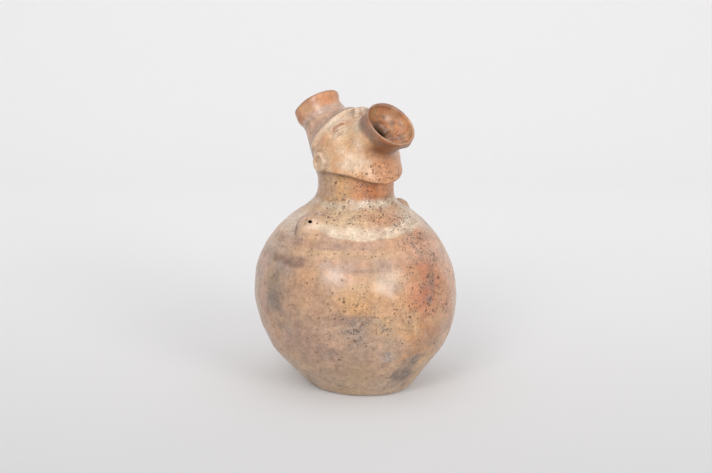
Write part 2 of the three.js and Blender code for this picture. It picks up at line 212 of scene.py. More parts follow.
def waves(p, length, seed, count=28):
    """A smooth random field of about unit size, made of plane waves near one wavelength."""
    random = np.random.default_rng(seed)
    turn = unit(random.normal(size=(count, 3)))
    pitch = 2 * math.pi / (length * random.uniform(0.7, 1.5, count))
    phase = random.uniform(0, 2 * math.pi, count)
    total = np.zeros(p.shape[:-1])
    for t, k, f in zip(turn, pitch, phase):
        total += np.sin(k * (p @ t) + f)
    return total * math.sqrt(2 / count)


def gradient(field, p, h=0.05):
    return np.stack([(field(p + h * e) - field(p - h * e)) / (2 * h) for e in np.eye(3)], axis=-1)


def body_field(p):
    x, y, z = split(p)
    r = np.hypot(x, y)
    h = z - BODY_CENTRE_Z
    ball = np.hypot(r, np.where(h > 0, h * BODY_RADIUS / SHOULDER_RISE, h)) - BODY_RADIUS
    flank = r * math.cos(FLANK_SLOPE) - h * math.sin(FLANK_SLOPE) - BODY_RADIUS
    side = np.where(h < -r * math.tan(FLANK_SLOPE), flank, ball)
    pot = smooth_max(side, -z, FOOT_EDGE)
    neck = np.maximum(r - NECK_RADIUS, -h)
    return smooth_min(pot, neck, NECK_FILLET)


def dome(p, radius, rise):
    """A cylinder over the neck that closes as half an ellipse leaning back."""
    x, y, z = split(p)
    z = np.maximum(z - SPRING_Z, 0)
    flat = np.hypot(x, y - z * SKULL_LEAN)
    k = np.hypot(flat / radius, z / rise)
    slope = np.hypot(flat / radius ** 2, z / rise ** 2)
    return k * (k - 1) / np.maximum(slope, 1e-6)


def skull_field(p):
    """Head without the face: the dome and the cone that runs back to the crown spout."""
    run, out = along(p, CROWN_HUB, CROWN_AXIS)
    root = CONE_ROOT * fall(run, 2, 24)
    cone = (out - NECK_RADIUS + CONE_TAPER * run + root) * math.cos(math.atan(CONE_TAPER))
    cone = np.maximum(np.maximum(cone, -run), run - CROWN_SEAT - 2)
    return smooth_min(dome(p, NECK_RADIUS, SKULL_RISE), cone, 0.2 + 5.8 * step(run, 4, 22))


def face_surface(p):
    """The face's outer dome, a little fuller at the chin and the jowls."""
    _, y, z = split(p)
    chin = CHIN_SWELL * hump(z, CHIN_Z, 5.5) - CHIN_DIP * hump(z, CHIN_DIP_Z, 4.5)
    jowl = JOWL * fall(z, 157, 181) * step(-y, -6, 8)
    return dome(p, NECK_RADIUS + FACE_THICKNESS, FACE_RISE) - step(-y, 12, 30) * chin - jowl


def face_planes(p):
    """Distances behind the brow, behind the cheek and under the jaw."""
    brow = beyond(p, BROW_TOP, (0, math.cos(BROW_TILT), math.sin(BROW_TILT)))
    cheek = beyond(p, TEMPLE, (0, math.cos(CHEEK_TILT), -math.sin(CHEEK_TILT)))
    chin = np.clip((-p[..., 1] - 5) / 27, 0, 1.3)
    jaw = JAW_Z - JAW_DROP * chin ** 2.4 - p[..., 2]
    return brow, cheek, jaw


def face_frame(centre, ahead):
    """A place on the face, and rows along the feature, across it and out of the face."""
    centre = np.asarray(centre, float)
    out = unit(gradient(face_surface, centre[None])[0])
    centre = centre - face_surface(centre[None])[0] * out
    forward = np.asarray(ahead, float)
    forward = unit(forward - (forward @ out) * out)
    return centre, np.stack([forward, np.cross(out, forward), out])


# Features are placed on the figure's right and mirrored to its left
SIDES = {"right": np.ones(3), "left": np.array([-1, 1, 1])}
EYE_CENTRE, EYE_AXES = face_frame((-22.6, -4.6, 196.8), (7.2, -7.2, 5.9))
EYE_ARCH = 0.035
EYE_SOCKET = (6.8, 3, 2.4)
EYE_PELLET = (4.8, 1.6, 2)
EYE_PELLET_PLACE = np.array([1, -0.6, -1])
# Folds round the eye: place up and out, thickness, middle, half length and softness of the ends
EYE_LID = (3.6, -0.5, 1.1, 0.5, 6, 3)
EYE_LOW_LID = (-3.4, -0.3, 0.9, 0, 5, 2)
EYE_FOLD = (-5.1, 0.4, 1, -2.5, 6, 2)
EAR_CENTRE, EAR_AXES = face_frame((-32.4, 3.8, 171), (0, -0.15, 1))
EAR_STRETCH = 1.1
EAR_RING = 5.4
EAR_ROLL = 1.9
EAR_HOLLOW = (4.4, 3.9, 2.1)
NOSE_CENTRE, NOSE_AXES = face_frame((0, -11, 203), (0, -1, -0.4))
NOSE_SIZE = np.array([8.6, 5.2, 6])
NOSE_WING_TOP = np.array([-2.6, -4, 206])
NOSE_WING_TIP = np.array([-7.2, -9.4, 202.8])
NOSE_WING_RADIUS = 2.3


def eye_place(p):
    """Along the eye, up from its arched middle and out of the face."""
    run, up, out = split((p - EYE_CENTRE) @ EYE_AXES.T)
    return run, up + EYE_ARCH * run ** 2, out


def add_eye(head, p):
    """A soft pellet in a shallow socket, with a roll over it, a low lid and a fold under it."""
    run, up, out = eye_place(p)

    def roll(height, lift, radius, middle, half, soft):
        return smooth_max(np.hypot(up - height, out - lift) - radius, np.abs(run - middle) - half, soft)

    head = smooth_min(head, roll(*EYE_LID), 2.2)
    long, tall, deep = EYE_SOCKET
    socket = np.hypot(np.hypot(run / long, up / tall), (out - 1.1) / deep) - 1
    head = smooth_max(head, -2.5 * socket, 1.6)
    head = smooth_min(head, ellipsoid(p, EYE_CENTRE + EYE_PELLET_PLACE @ EYE_AXES, EYE_AXES, EYE_PELLET), 1)
    head = smooth_min(head, roll(*EYE_LOW_LID), 1.2)
    return smooth_max(head, -roll(*EYE_FOLD), 1.2)


def ear_place(p):
    """Distance from the ear's middle, in the ear's oval, and out of the face."""
    up, across, out = split((p - EAR_CENTRE) @ EAR_AXES.T)
    return np.hypot(up / EAR_STRETCH, across), out


def add_ear(head, p):
    """A ring of rolled clay round a hollow."""
    reach, out = ear_place(p)
    roll = np.hypot(reach - EAR_RING, out - 0.2) - EAR_ROLL
    hollow = ellipsoid(p, EAR_CENTRE + 2.2 * EAR_AXES[2], EAR_AXES, EAR_HOLLOW)
    return smooth_max(smooth_min(head, roll, 1.3), -hollow, 1.6)


def nose_wing(p):
    return rod(p, NOSE_WING_TOP, NOSE_WING_TIP, NOSE_WING_RADIUS)


def add_nose(head, p):
    """A drop of clay with two wings that spread down to the mouth."""
    head = smooth_min(head, ellipsoid(p, NOSE_CENTRE, NOSE_AXES, NOSE_SIZE), 1.4)
    for mirror in SIDES.values():
        head = smooth_min(head, nose_wing(p * mirror), 0.8)
    return head


def mouth_place(p):
    """Depth under the lip, side and up from the axis, and distance from the tube's leaning middle."""
    q = p - MOUTH_HUB
    depth = MOUTH_REACH - q @ MOUTH_AXIS
    root = step(depth, 1, 9)
    side = q[..., 0] - 0.9 * (1 - root)
    up = q @ MOUTH_UP - 0.6 * (1 - root)
    return depth, side, up, np.hypot(side / (1 + 0.07 * root), up - 1.8 * root)


def mouth_bowl(depth, side, up):
    reach = np.hypot(np.hypot(side, up) / MOUTH_BOWL_RADIUS, depth / MOUTH_BOWL_DEPTH)
    return (reach - 1) * MOUTH_BOWL_DEPTH


def throat_rod(p, spare=0):
    return rod(p, THROAT_MOUTH, THROAT_END, THROAT_RADIUS + spare)


def crumbs(p, spread):
    """Where old residue clings to the mouth's bowl."""
    return np.exp(-((p - MOUTH_CRUMBS) ** 2).sum(-1) / spread)


def add_mouth(head, p):
    """The spout leans up and back at its root, so that its lower side overhangs."""
    depth, side, up, off_axis = mouth_place(p)
    reach = np.maximum(np.hypot(side, up), 1)
    under = step(-up / reach, -0.3, 0.7)
    muzzle = off_axis - MUZZLE_RADIUS - MUZZLE_FLARE * step(depth, 6, 20) + MUZZLE_UNDERCUT * under
    muzzle = np.maximum(smooth_max(0.95 * muzzle, 9 - depth, 1.5), depth - 36)
    head = smooth_min(head, muzzle, 5)
    corner = np.clip((0.75 * side + 0.66 * up) / reach, 0, 1) ** 3
    tube = off_axis - MOUTH_TUBE - (LIP_FLARE + LIP_CORNER * corner) * hump(depth, 0.6, 5.4 + 3.4 * under)
    tube -= 3.4 * under * step(side, 0, 14) * hump(depth, 8.5, 4.5)
    tube = np.maximum(smooth_max(tube, -depth, 0.9), depth - MOUTH_REACH)
    head = smooth_min(head, tube, 1.4)
    bowl = mouth_bowl(depth, side, up)
    crust = crumbs(p, 60)
    near = crust > 0.02
    rough = 1.2 + 1 * waves(p[near], 6.5, 31) + 0.5 * waves(p[near], 3.4, 32)
    bowl[near] += crust[near] * rough
    return smooth_max(head, -smooth_min(bowl, throat_rod(p), THROAT_FLARE), 1)


def add_crown(head, p):
    """A collar that bellies out on one side, over a bore that flares at the lip."""
    run, out = along(p, CROWN_HUB, CROWN_AXIS)
    depth = CROWN_REACH - run
    narrow = 0.5 + 0.5 * ((p - CROWN_HUB) @ COLLAR_NARROW_SIDE) / np.maximum(out, 1)
    swell = COLLAR_BELLY * (1 - narrow) * hump(depth, 6.5, 4.8)
    swell -= COLLAR_WAIST * narrow * hump(depth, 7, 3.6)
    collar = out - CROWN_TUBE - swell - COLLAR_LIP * hump(depth, 0.8, 2.8)
    collar = np.maximum(smooth_max(collar, -depth, 1), depth - 14)
    head = smooth_min(head, collar, 1.6)
    bore = out - CROWN_BORE - CROWN_FLARE * fall(depth, 0, 11)
    return smooth_max(head, -np.maximum(bore, 4 - run), 1.4)


def head_field(p):
    x, _, z = split(p)
    skull = skull_field(p)
    face = face_surface(p)
    brow, cheek, jaw = face_planes(p)
    mask = smooth_max(smooth_max(face, brow, 1.6), smooth_max(cheek, jaw, 2.6), 2.5)
    head = smooth_min(skull, mask, 1.6)
    ridge = np.hypot(face - 0.4, (brow + BROW_ROLL_BACK) / 1.4) - BROW_ROLL + 0.9 * hump(x, 0, 7)
    ridge = smooth_max(ridge, TEMPLE[2] - 3 - z, 6)
    head = smooth_min(head, ridge, 1.6)
    groove = np.hypot(skull - 0.9, brow - 0.9) - 1.3
    groove = smooth_max(groove, TEMPLE[2] - 8 - z, 6)
    head = smooth_max(head, -groove, 2)
    for mirror in SIDES.values():
        head = add_ear(add_eye(head, p * mirror), p * mirror)
    return add_crown(add_nose(add_mouth(head, p), p), p)


def lug_place(p, foot, sizes, mouth):
    """Distances from the lug's pad and its bent cord hole, and places ahead, downhill and across."""
    out = unit(gradient(body_field, foot[None])[0])
    downhill = unit(np.cross(np.array([0, 1, 0]), out) * np.sign(foot[0]))
    axes = np.stack([downhill, np.cross(out, downhill), out])
    down, across, lift = split((p - foot) @ axes.T)
    pad = ellipsoid(p, foot + LUG_LIFT * out, axes, sizes)
    ahead = foot[1] - p[..., 1]
    local = np.stack([down, ahead, lift], axis=-1)
    slant = np.array([0, math.cos(HOLE_TILT), math.sin(HOLE_TILT)])
    bend = np.array([0.2, *mouth]) - HOLE_DEPTH * slant
    hole = np.minimum(rod(local, bend, bend + 2 * HOLE_DEPTH * slant, HOLE_RADIUS),
                      rod(local, bend, bend - np.array([0, HOLE_LENGTH, 0]), HOLE_RADIUS))
    return pad, hole, ahead, down, across


def lug_field(p, shape):
    """A pad that is undercut behind, and whose fillet ahead runs out just under the shoulder's skin."""
    body = body_field(p)
    pad, hole, ahead, down, across = lug_place(p, *shape)
    joined = smooth_min(body, pad, 1 + 7 * step(ahead + 0.3 * down, -2.5, 4)) + 0.1
    joined = smooth_max(joined, -hole, 0.5)
    rim = 13 * (np.hypot(down / LUG_RIM, across / LUG_RIM) - 1)
    return smooth_max(smooth_max(joined, rim, 0.6), -body - LUG_ROOT, 0.6)


# Meshing: a net of quads through the cells that the surface crosses

def untangle(values):
    """Fills the weakest empty corner of each chequered cell side, since such sides would pinch the net."""
    found = True
    while found:
        found = False
        for axis in (2, 0, 1):
            layer = np.moveaxis(values, axis, 2)
            sides = [layer[:-1, :-1], layer[1:, :-1], layer[1:, 1:], layer[:-1, 1:]]
            inside = [side < 0 for side in sides]
            chequered = (inside[0] == inside[2]) & (inside[1] == inside[3]) & (inside[0] != inside[1])
            for place in map(tuple, np.argwhere(chequered)):
                corners = np.array([side[place] for side in sides])
                weakest = int(np.argmin(np.where(corners < 0, np.inf, corners)))
                sides[weakest][place] = FILLED
                found = True


def surface_net(field, low, high, cell):
    counts = np.ceil((high - low) / cell).astype(int) + 1
    lines = [low[i] + cell * np.arange(counts[i]) for i in range(3)]
    values = np.empty(counts, np.float32)
    y, z = np.meshgrid(lines[1], lines[2], indexing="ij")
    for i, x in enumerate(lines[0]):
        values[i] = field(np.stack([np.full_like(y, x), y, z], axis=-1))
    untangle(values)
    inside = values < 0
    cells = counts - 1

    def corner(grid, offset):
        return grid[tuple(slice(o, o + c) for o, c in zip(offset, cells))]

    ways = np.eye(3, dtype=int)
    corners = [np.array(offset) for offset in np.ndindex(2, 2, 2)]
    filled = sum(corner(inside, offset).astype(np.int8) for offset in corners)
    mixed = (filled > 0) & (filled < 8)
    index = np.full(cells, -1)
    index[mixed] = np.arange(mixed.sum())
    where = np.argwhere(mixed)
    total, hits = np.zeros((len(where), 3)), np.zeros(len(where))
    for offset, way in ((o, w) for o in corners for w in ways if not o @ w):
        a, b = corner(values, offset)[mixed], corner(values, offset + way)[mixed]
        crossed = (a < 0) != (b < 0)
        share = a / np.where(crossed, a - b, np.inf)
        total += (offset + share[:, None] * way) * crossed[:, None]
        hits += crossed
    verts = low + cell * (where + total / hits[:, None])
    quads = []
    for axis in range(3):
        u, v = (axis + 1) % 3, (axis + 2) % 3
        change = np.diff(inside.astype(np.int8), axis=axis)
        spots = np.argwhere(change)
        spots = spots[(spots[:, [u, v]] > 0).all(1) & (spots[:, [u, v]] < cells[[u, v]]).all(1)]
        shifts = (0 * ways[u], ways[u], ways[u] + ways[v], ways[v])
        quad = np.stack([index[tuple((spots - shift).T)] for shift in shifts], axis=1)
        leaving = change[tuple(spots.T)] < 0
        quads.append(np.where(leaving[:, None], quad, quad[:, ::-1]))
    quads = np.concatenate(quads)
    return verts, quads[(quads >= 0).all(1)]


def settle(p, field, passes=3):
    """Moves points down the field's slope onto its surface."""
    for _ in range(passes):
        slope = gradient(field, p)
        p = p - (field(p) / np.maximum((slope * slope).sum(-1), 1e-6))[:, None] * slope
    return p


def vertex_normals(p, quads):
    face = np.cross(p[quads[:, 2]] - p[quads[:, 0]], p[quads[:, 3]] - p[quads[:, 1]])
    total = np.zeros_like(p)
    for i in range(4):
        np.add.at(total, quads[:, i], face)
    return unit(total)


def quad_edges(quads):
    return np.concatenate([np.stack([quads[:, i], quads[:, (i + 1) % 4]], 1) for i in range(4)])


def border_edges(quads):
    """Directed edges that only one face has."""
    edges = quad_edges(quads)
    key = edges[:, 0].astype(np.int64) * (edges.max() + 1) + edges[:, 1]
    back = edges[:, 1].astype(np.int64) * (edges.max() + 1) + edges[:, 0]
    return edges[~np.isin(key, back)]


def label_faces(p, quads, regions):
    """The first region that holds a face's middle takes the face. Regions are negative inside."""
    middle = p[quads].mean(1)
    label = np.full(len(quads), -1)
    for i, (_, region) in enumerate(regions):
        label[(label < 0) & (region(middle) < 0)] = i
    for _ in range(6):
        pinched = 0
        for i in range(len(regions)):
            border = border_edges(quads[label == i])
            if not len(border):
                continue
            spots, uses = np.unique(border[:, 0], return_counts=True)
            bad = spots[uses > 1]
            if len(bad):
                pinched += len(bad)
                label[np.isin(quads, bad).any(1)] = i
        if not pinched:
            break
    return label


def part_twins(p, quads, field):
    """Moves vertices that met at one place towards their neighbours."""
    edges = quad_edges(quads)
    gap = np.linalg.norm(p[edges[:, 0]] - p[edges[:, 1]], axis=1)
    for twin in np.unique(edges[gap < TWIN_GAP].min(1, initial=len(p))):
        near = np.unique(edges[(edges == twin).any(1)])
        p[twin] = 0.5 * (p[twin] + p[near].mean(0))
        p[twin] = settle(p[twin][None], field, 2)[0]
    return p


def snap_seams(p, quads, label, regions, field):
    """Moves the vertices between two regions onto the line where the first region ends."""
    for _ in range(3):
        for i in range(len(regions) - 1, -1, -1):
            border = np.unique(border_edges(quads[label == i]))
            lower = np.full(len(p), len(regions))
            for j in range(4):
                np.minimum.at(lower, quads[:, j], np.where(label < 0, len(regions), label))
            border = border[lower[border] == i]
            region = regions[i][1]
            slope = gradient(region, p[border])
            normal = unit(gradient(field, p[border]))
            slope -= (slope * normal).sum(-1, keepdims=True) * normal
            move = (region(p[border]) / np.maximum((slope * slope).sum(-1), 0.2))[:, None] * slope
            p[border] -= np.clip(move, -0.8, 0.8)
        p = settle(p, field, 1)
    return part_twins(p, quads, field)


# Handmade unevenness, the same for every piece so that they keep together

LEAN_HEIGHTS = [0, 30, 50, 70, 95, 122, 138, 148, 170]
LEAN_SHIFTS = [0.3, 1.1, 0.7, -0.3, -1.3, -2.4, -1, 0, 0]
FOOT_HEIGHT = 34
FOOT_SQUEEZE = 0.01
FOOT_SKEW = 0.15
FOOT_SHIFT = 2
FOOT_AHEAD = 3.6
# Swells: height, wavelength and seed
SWELLS = [(0.45, 62, 11), (0.16, 22, 12), (0.05, 9, 13)]


def handmade(p):
    """Leans the body sideways by height, shifts and skews the foot, and swells the wall in soft waves."""
    z = p[:, 2]
    side = p @ SIDEWAYS
    foot = fall(z, -4, FOOT_HEIGHT)
    shift = np.interp(z, LEAN_HEIGHTS, LEAN_SHIFTS) + foot * (FOOT_SHIFT - FOOT_SQUEEZE * side)
    ahead = foot * (FOOT_AHEAD + FOOT_SKEW * side)
    moved = p + shift[:, None] * SIDEWAYS + ahead[:, None] * direction(CAMERA_AZIMUTH, 0)
    grounded = step(z, 1, 25)
    out = unit(p - np.array([0, 0, BODY_CENTRE_Z]))
    out[:, 2] *= grounded
    swell = sum(height * waves(p, length, seed) for height, length, seed in SWELLS)
    return moved + (swell * (0.35 + 0.65 * grounded))[:, None] * out


# Paint: slip bands, fire clouds and wear, with painted shade and painted highlights, worked out for each
# vertex

def srgb(red, green, blue):
    c = np.array([red, green, blue]) / 255
    return np.where(c <= 0.04045, c / 12.92, ((c + 0.055) / 1.055) ** 2.4)


TONE = {"tan": srgb(198, 158, 127), "rose": srgb(189, 146, 122), "gold": srgb(203, 154, 105),
        "pink": srgb(208, 168, 145), "orange": srgb(200, 138, 98), "rust": srgb(168, 96, 46),
        "red": srgb(185, 119, 91), "cream": srgb(222, 201, 177), "brown": srgb(162, 130, 113),
        "dark": srgb(138, 110, 96), "mauve": srgb(170, 142, 127), "grey": srgb(134, 117, 107),
        "smoke": srgb(112, 98, 90), "olive": srgb(194, 164, 126), "ash": srgb(172, 154, 140),
        "lilac": srgb(178, 158, 148), "soot": srgb(70, 50, 40), "umber": srgb(126, 76, 40)}
# Near-black painted shade deep inside the spouts.
DEEP_SHADE = 0.5 * TONE["soot"]
# Near-black painted shade for the lug's cord hole.
HOLE_SHADE = 0.05 * TONE["soot"]

# Tones that rise from the foot: strength, and the heights between which they fade
LOW_TONES = [("ash", 0.3, 6, 40), ("cream", 0.25, 6, 36), ("olive", 0.35, 10, 46)]

# Places on the body: tone, azimuth, height, half width, half height, strength
BODY_SPOTS = [
    ("mauve", -84, 84, 24, 30, 0.6), ("mauve", -78, 52, 30, 20, 0.6), ("brown", -74, 90, 12, 9, 0.3),
    ("grey", -96, 80, 11, 18, 0.7), ("smoke", -97, 78, 7, 17, 0.45), ("lilac", -104, 108, 18, 14, 0.7),
    ("brown", -80, 46, 20, 9, 0.4), ("grey", -62, 39, 8, 4.5, 0.6), ("cream", -106, 126, 24, 6, 0.6),
    ("brown", -60, 66, 12, 7, 0.4), ("brown", -66, 76, 8, 5, 0.35), ("brown", -32, 52, 12, 7, 0.35),
    ("gold", -35, 80, 22, 10, 0.45), ("brown", -19, 66, 14, 12, 0.3), ("gold", -49, 84, 12, 6, 0.3),
    ("gold", -4, 48, 16, 18, 0.8), ("rust", -2, 50, 17, 16, 0.38), ("olive", -26, 92, 6, 8, 0.45),
    ("olive", -42, 90, 16, 10, 0.35), ("ash", -48, 60, 14, 8, 0.7), ("mauve", -38, 54, 18, 12, 0.7),
    ("dark", -43, 68, 21, 4.5, 0.7), ("mauve", -46, 34, 28, 16, 0.6), ("olive", -20, 56, 22, 12, 0.35),
    ("ash", -30, 44, 22, 9, 0.4), ("brown", -14, 42, 12, 8, 0.4), ("brown", 8, 44, 14, 12, 0.5),
    ("lilac", -20, 104, 18, 7, 0.6), ("cream", 30, 128, 14, 10, 0.7), ("lilac", -24, 37, 6, 4.5, 0.9),
    ("grey", -3, 30, 12, 6, 0.8), ("grey", -5, 18, 14, 10, 0.9), ("smoke", -3, 31, 5, 3, 0.5),
    ("smoke", -4, 20, 11, 8, 0.5), ("lilac", -122, 74, 26, 44, 0.5), ("grey", -28, 10, 16, 5, 0.3),
    ("ash", -60, 12, 60, 11, 0.3), ("orange", 3, 98, 25, 30, 0.6), ("red", 8, 85, 29, 25, 0.82),
    ("red", 2, 74, 14, 10, 0.75), ("pink", 3, 111, 18, 10, 0.6), ("orange", 20, 68, 12, 14, 0.3),
    ("pink", 34, 90, 14, 38, 0.85), ("grey", 2, 77, 3.4, 4, 0.85), ("smoke", 6, 91, 5, 13, 0.6),
    ("grey", 4, 110, 3.5, 6, 0.6), ("olive", -8, 62, 5, 9, 0.4), ("orange", -8, 132.5, 22, 5.5, 0.6),
    # The two ash spots on the next line lie under the lamps' highlights and whiten them, as painted
    # highlight.
    ("orange", 8, 129, 10, 3, 0.45), ("ash", -56, 97, 12, 8, 0.45), ("ash", -22, 93, 12, 10, 0.45),
    ("gold", -54, 132, 20, 4, 0.45), ("olive", -40, 132, 22, 5, 0.6), ("grey", 118, 64, 22, 26, 0.6),
    ("red", 86, 88, 26, 20, 0.45), ("gold", 150, 74, 30, 18, 0.5), ("brown", -68, 84, 10, 8, 0.4),
    ("dark", -72, 60, 9, 5, 0.4), ("brown", -84, 60, 10, 10, 0.4), ("mauve", -150, 66, 26, 20, 0.5),
    ("gold", -128, 50, 22, 14, 0.4), ("brown", 60, 40, 24, 10, 0.5)]
FIRST_SPOT_SEED = 100

# Worn lines round the body: tone, heights with soft edges, strength all round and in sectors
BODY_LINES = [("dark", (101.5, 107.5, 1, 2.2), 0.25, [(0.7, -100, -78, 10), (0.2, -62, -28, 10)]),
              ("dark", (100.2, 102.4, 0.8, 0.9), 0.1, [(0.4, -52, -26, 8)]),
              ("brown", (114.2, 119.2, 0.7, 1.6), 0.4, [(0.5, -104, -40, 24)])]

# Slip band round the shoulder: azimuth, heights of the lower and upper edges
SLIP_BAND = np.array([
    (-180, 121, 127.5), (-130, 120.5, 128), (-100, 126, 129), (-78, 125.4, 129.4), (-63, 122.9, 129),
    (-47, 121.1, 128.4), (-36, 119.8, 127.6), (-21, 120.3, 126.4), (-8, 121, 127), (5, 121.9, 128.6),
    (18, 122.8, 130.5), (30, 123.6, 132), (62, 124.6, 131), (92, 126, 129), (130, 121, 128),
    (180, 121, 127.5)])

# Painted light and shade along the eye: orange and rust for shadow under the lid roll, cream for highlights
# on the pellet and the low lid. Tone, strength, place up and width
EYE_LINES = [("orange", 0.6, 1.4, 2), ("rust", 0.4, 2, 1.1), ("cream", 0.5, -0.6, 0.9),
             ("cream", 0.35, -3.4, 0.9)]

# Marks: strength with a ring and a sector, or with a spot's azimuth, height, half sizes and seed
PIT_RINGS = [(0.62, (130, 150, 3, 6), (-80, 34, 20)), (0.55, (66, 130, 10, 6), (-6, 14, 8)),
             (0.3, (46, 80, 8, 8), (-60, -14, 12)), (0.8, (154, 170, 4, 6), (-46, 20, 14))]
PIT_SPOTS = [(1.5, -72, 142, 10, 7, 81), (2.2, 8, 126, 18, 7, 82), (1.5, 6, 92, 8, 22, 83),
             (0.7, -70, 159, 14, 6, 84)]
SCUFF_SPOTS = [(1, -40, 66, 22, 6, 72), (1, -40, 56, 20, 12, 73), (1, -23, 36, 8, 5, 74),
               (1, -5, 30, 10, 5, 75), (1, -59, 41.5, 8, 4, 76), (1, 4, 76, 4, 4, 77),
               (0.6, -30, 14, 20, 5, 78), (0.6, 120, 60, 18, 12, 79)]
UNBURNISHED = 2.5


class Layers:
    """Tones laid over one another on a set of points."""

    def __init__(self, p, name):
        self.p = p
        self.tone = np.tile(TONE[name], (len(p), 1))

    def cover(self, colour, share):
        self.tone = self.tone + (colour - self.tone) * np.clip(share, 0, 1)[:, None]

    def lay(self, **shares):
        """Lays named tones one after another, each by its share."""
        for name, share in shares.items():
            self.cover(TONE[name], share)


def azimuth_of(p):
    return np.degrees(np.arctan2(p[:, 0], -p[:, 1]))


def spot(p, azimuth, height, wide, tall, seed):
    turn = (azimuth_of(p) - azimuth + 180) % 360 - 180
    across = np.radians(turn) * np.hypot(p[:, 0], p[:, 1])
    away = np.hypot(across / wide, (p[:, 2] - height) / tall)
    ragged = 0.2 * waves(p, 0.6 * (wide + tall), seed) + 0.1 * waves(p, 0.25 * (wide + tall), seed + 50)
    return fall(away + ragged, 0.1, 1.4)


def spots(p, places):
    return sum(strength * spot(p, *place) for strength, *place in places)


def sector(p, low, high, fade):
    """One between two azimuths, fading outside them."""
    middle, half = 0.5 * (low + high), 0.5 * (high - low)
    turn = np.abs((azimuth_of(p) - middle + 180) % 360 - 180)
    return fall(turn, half, half + fade)


def ring(z, low, high, soft_low, soft_high):
    return step(z, low - soft_low, low + soft_low) * fall(z, high - soft_high, high + soft_high)


def patchy(p, level, depth, length, seed):
    return np.clip(level + depth * waves(p, length, seed), 0, 1)


def paint_lug(coat, pad, hole, ahead, down):
    lift = body_field(coat.p)
    near = hump(np.maximum(pad, 0), 0, 4) * (1 - 0.95 * step(ahead, 4, 8))
    lifted = near * step(lift, 0.3, 3)
    coat.lay(lilac=0.5 * near, pink=0.5 * lifted, olive=0.45 * lifted * step(ahead, -1, 4))
    # Painted shadow on the shoulder just behind the lug, and painted shade along the pad's rear edge.
    crease_shadow = hump(np.maximum(pad, 0), 0, 2.2) * fall(lift, 0.8, 2.8)
    coat.lay(soot=0.75 * crease_shadow * fall(ahead, -2.5, 1.5))
    edge = fall(ahead, -4, 1) * hump(np.hypot(down / 8.8, ahead / 6.2), 0.97, 0.2)
    coat.lay(dark=0.9 * edge, soot=0.4 * edge)
    # Painted shade: the cord hole is painted almost black.
    coat.cover(HOLE_SHADE, fall(hole, 0, 0.5) * step(lift, -0.5, 0.8))


def paint_body(coat):
    p = coat.p
    z = p[:, 2] + 0.5 * waves(p, 17, 41)
    for name, strength, low, high in LOW_TONES:
        coat.cover(TONE[name], strength * fall(z, low, high))
    for i, (name, *place, strength) in enumerate(BODY_SPOTS):
        coat.cover(TONE[name], strength * spot(p, *place, FIRST_SPOT_SEED + i))
    coat.lay(cream=0.34 * ring(z, 126, 138, 5, 4) * sector(p, -110, 40, 30))
    coat.lay(orange=0.5 * spot(p, -6, 132.5, 20, 5, 92), olive=0.5 * spot(p, -50, 135, 16, 5, 93))
    worn = patchy(p, 0.72, 0.3, 11, 42)
    for name, heights, strength, sectors in BODY_LINES:
        share = strength + sum(more * sector(p, *turns) for more, *turns in sectors)
        coat.cover(TONE[name], ring(z, *heights) * worn * share)
    coat.lay(olive=0.4 * ring(z, 108.8, 113.4, 1.4, 1.2) * sector(p, -80, -20, 20))
    turns, lows, highs = SLIP_BAND.T
    low, high = np.interp(azimuth_of(p), turns, lows), np.interp(azimuth_of(p), turns, highs)
    slip = ring(z, low, high, 0.5, 1.3) * patchy(p, 0.95, 0.2, 9, 43)
    coat.lay(cream=slip * (0.25 + 0.68 * sector(p, -74, 24, 9)))
    coat.lay(brown=0.45 * ring(z, 131.6, 134.2, 1.2, 1.2) * sector(p, -80, -30, 16) * worn)
    rise = 2 * sector(p, -24, 30, 20)
    neck_ring = ring(z - rise, 137.2, 142.4, 1.6, 2) * patchy(p, 0.98, 0.35, 13, 44)
    # Cream slip round the neck ring. Its extra paleness towards the right and the cream spot on the next line
    # are painted highlight.
    coat.lay(cream=(0.85 + 0.3 * sector(p, -34, 6, 12)) * neck_ring)
    coat.lay(cream=0.8 * spot(p, -14, 141, 8, 4, 94))
    for shape in LUGS.values():
        pad, hole, ahead, down, _ = lug_place(p, *shape)
        paint_lug(coat, pad, hole, ahead, down)


def paint_neck(coat):
    """Neck tones turn from rose and olive on the figure's right to rust at the front."""
    p = coat.p
    turn = azimuth_of(p) + 5 * waves(p, 24, 45)
    neck = Layers(p, "tan")
    neck.lay(rose=0.55 * fall(turn, -96, -58), olive=0.35 * sector(p, -110, -70, 20))
    neck.lay(gold=0.75 * sector(p, -66, -44, 16))
    neck.lay(orange=0.9 * step(turn, -58, -36) * fall(turn, 70, 120))
    neck.lay(rust=0.75 * step(turn, -40, -24) * fall(turn, -12, 4))
    coat.cover(neck.tone, step(p[:, 2] + 0.8 * waves(p, 15, 46), 142, 147))


def paint_eye(coat, p):
    run, up, out = eye_place(p)
    eye = np.exp(-(run / 6) ** 4) * np.exp(-(out / 5) ** 4)
    for name, strength, place, width in EYE_LINES:
        coat.cover(TONE[name], strength * eye * hump(up, place, width))
    # Painted shade in the fold under the eye.
    coat.lay(brown=0.5 * eye * hump(up, -5, 1) * fall(run, -2, 2))


def paint_ear(coat, p, skull):
    reach, out = ear_place(p)
    ear = step(skull, 0.5, 2.5) * fall(np.abs(out), 5, 8)
    # Painted shade in the crease round the ear's ring. The ring itself and its hollow are pale.
    coat.lay(dark=0.45 * ear * hump(reach, 7.6, 0.9), cream=0.6 * ear * hump(reach, EAR_RING, 1.5))
    coat.lay(cream=0.4 * ear * fall(reach, 2, 5))


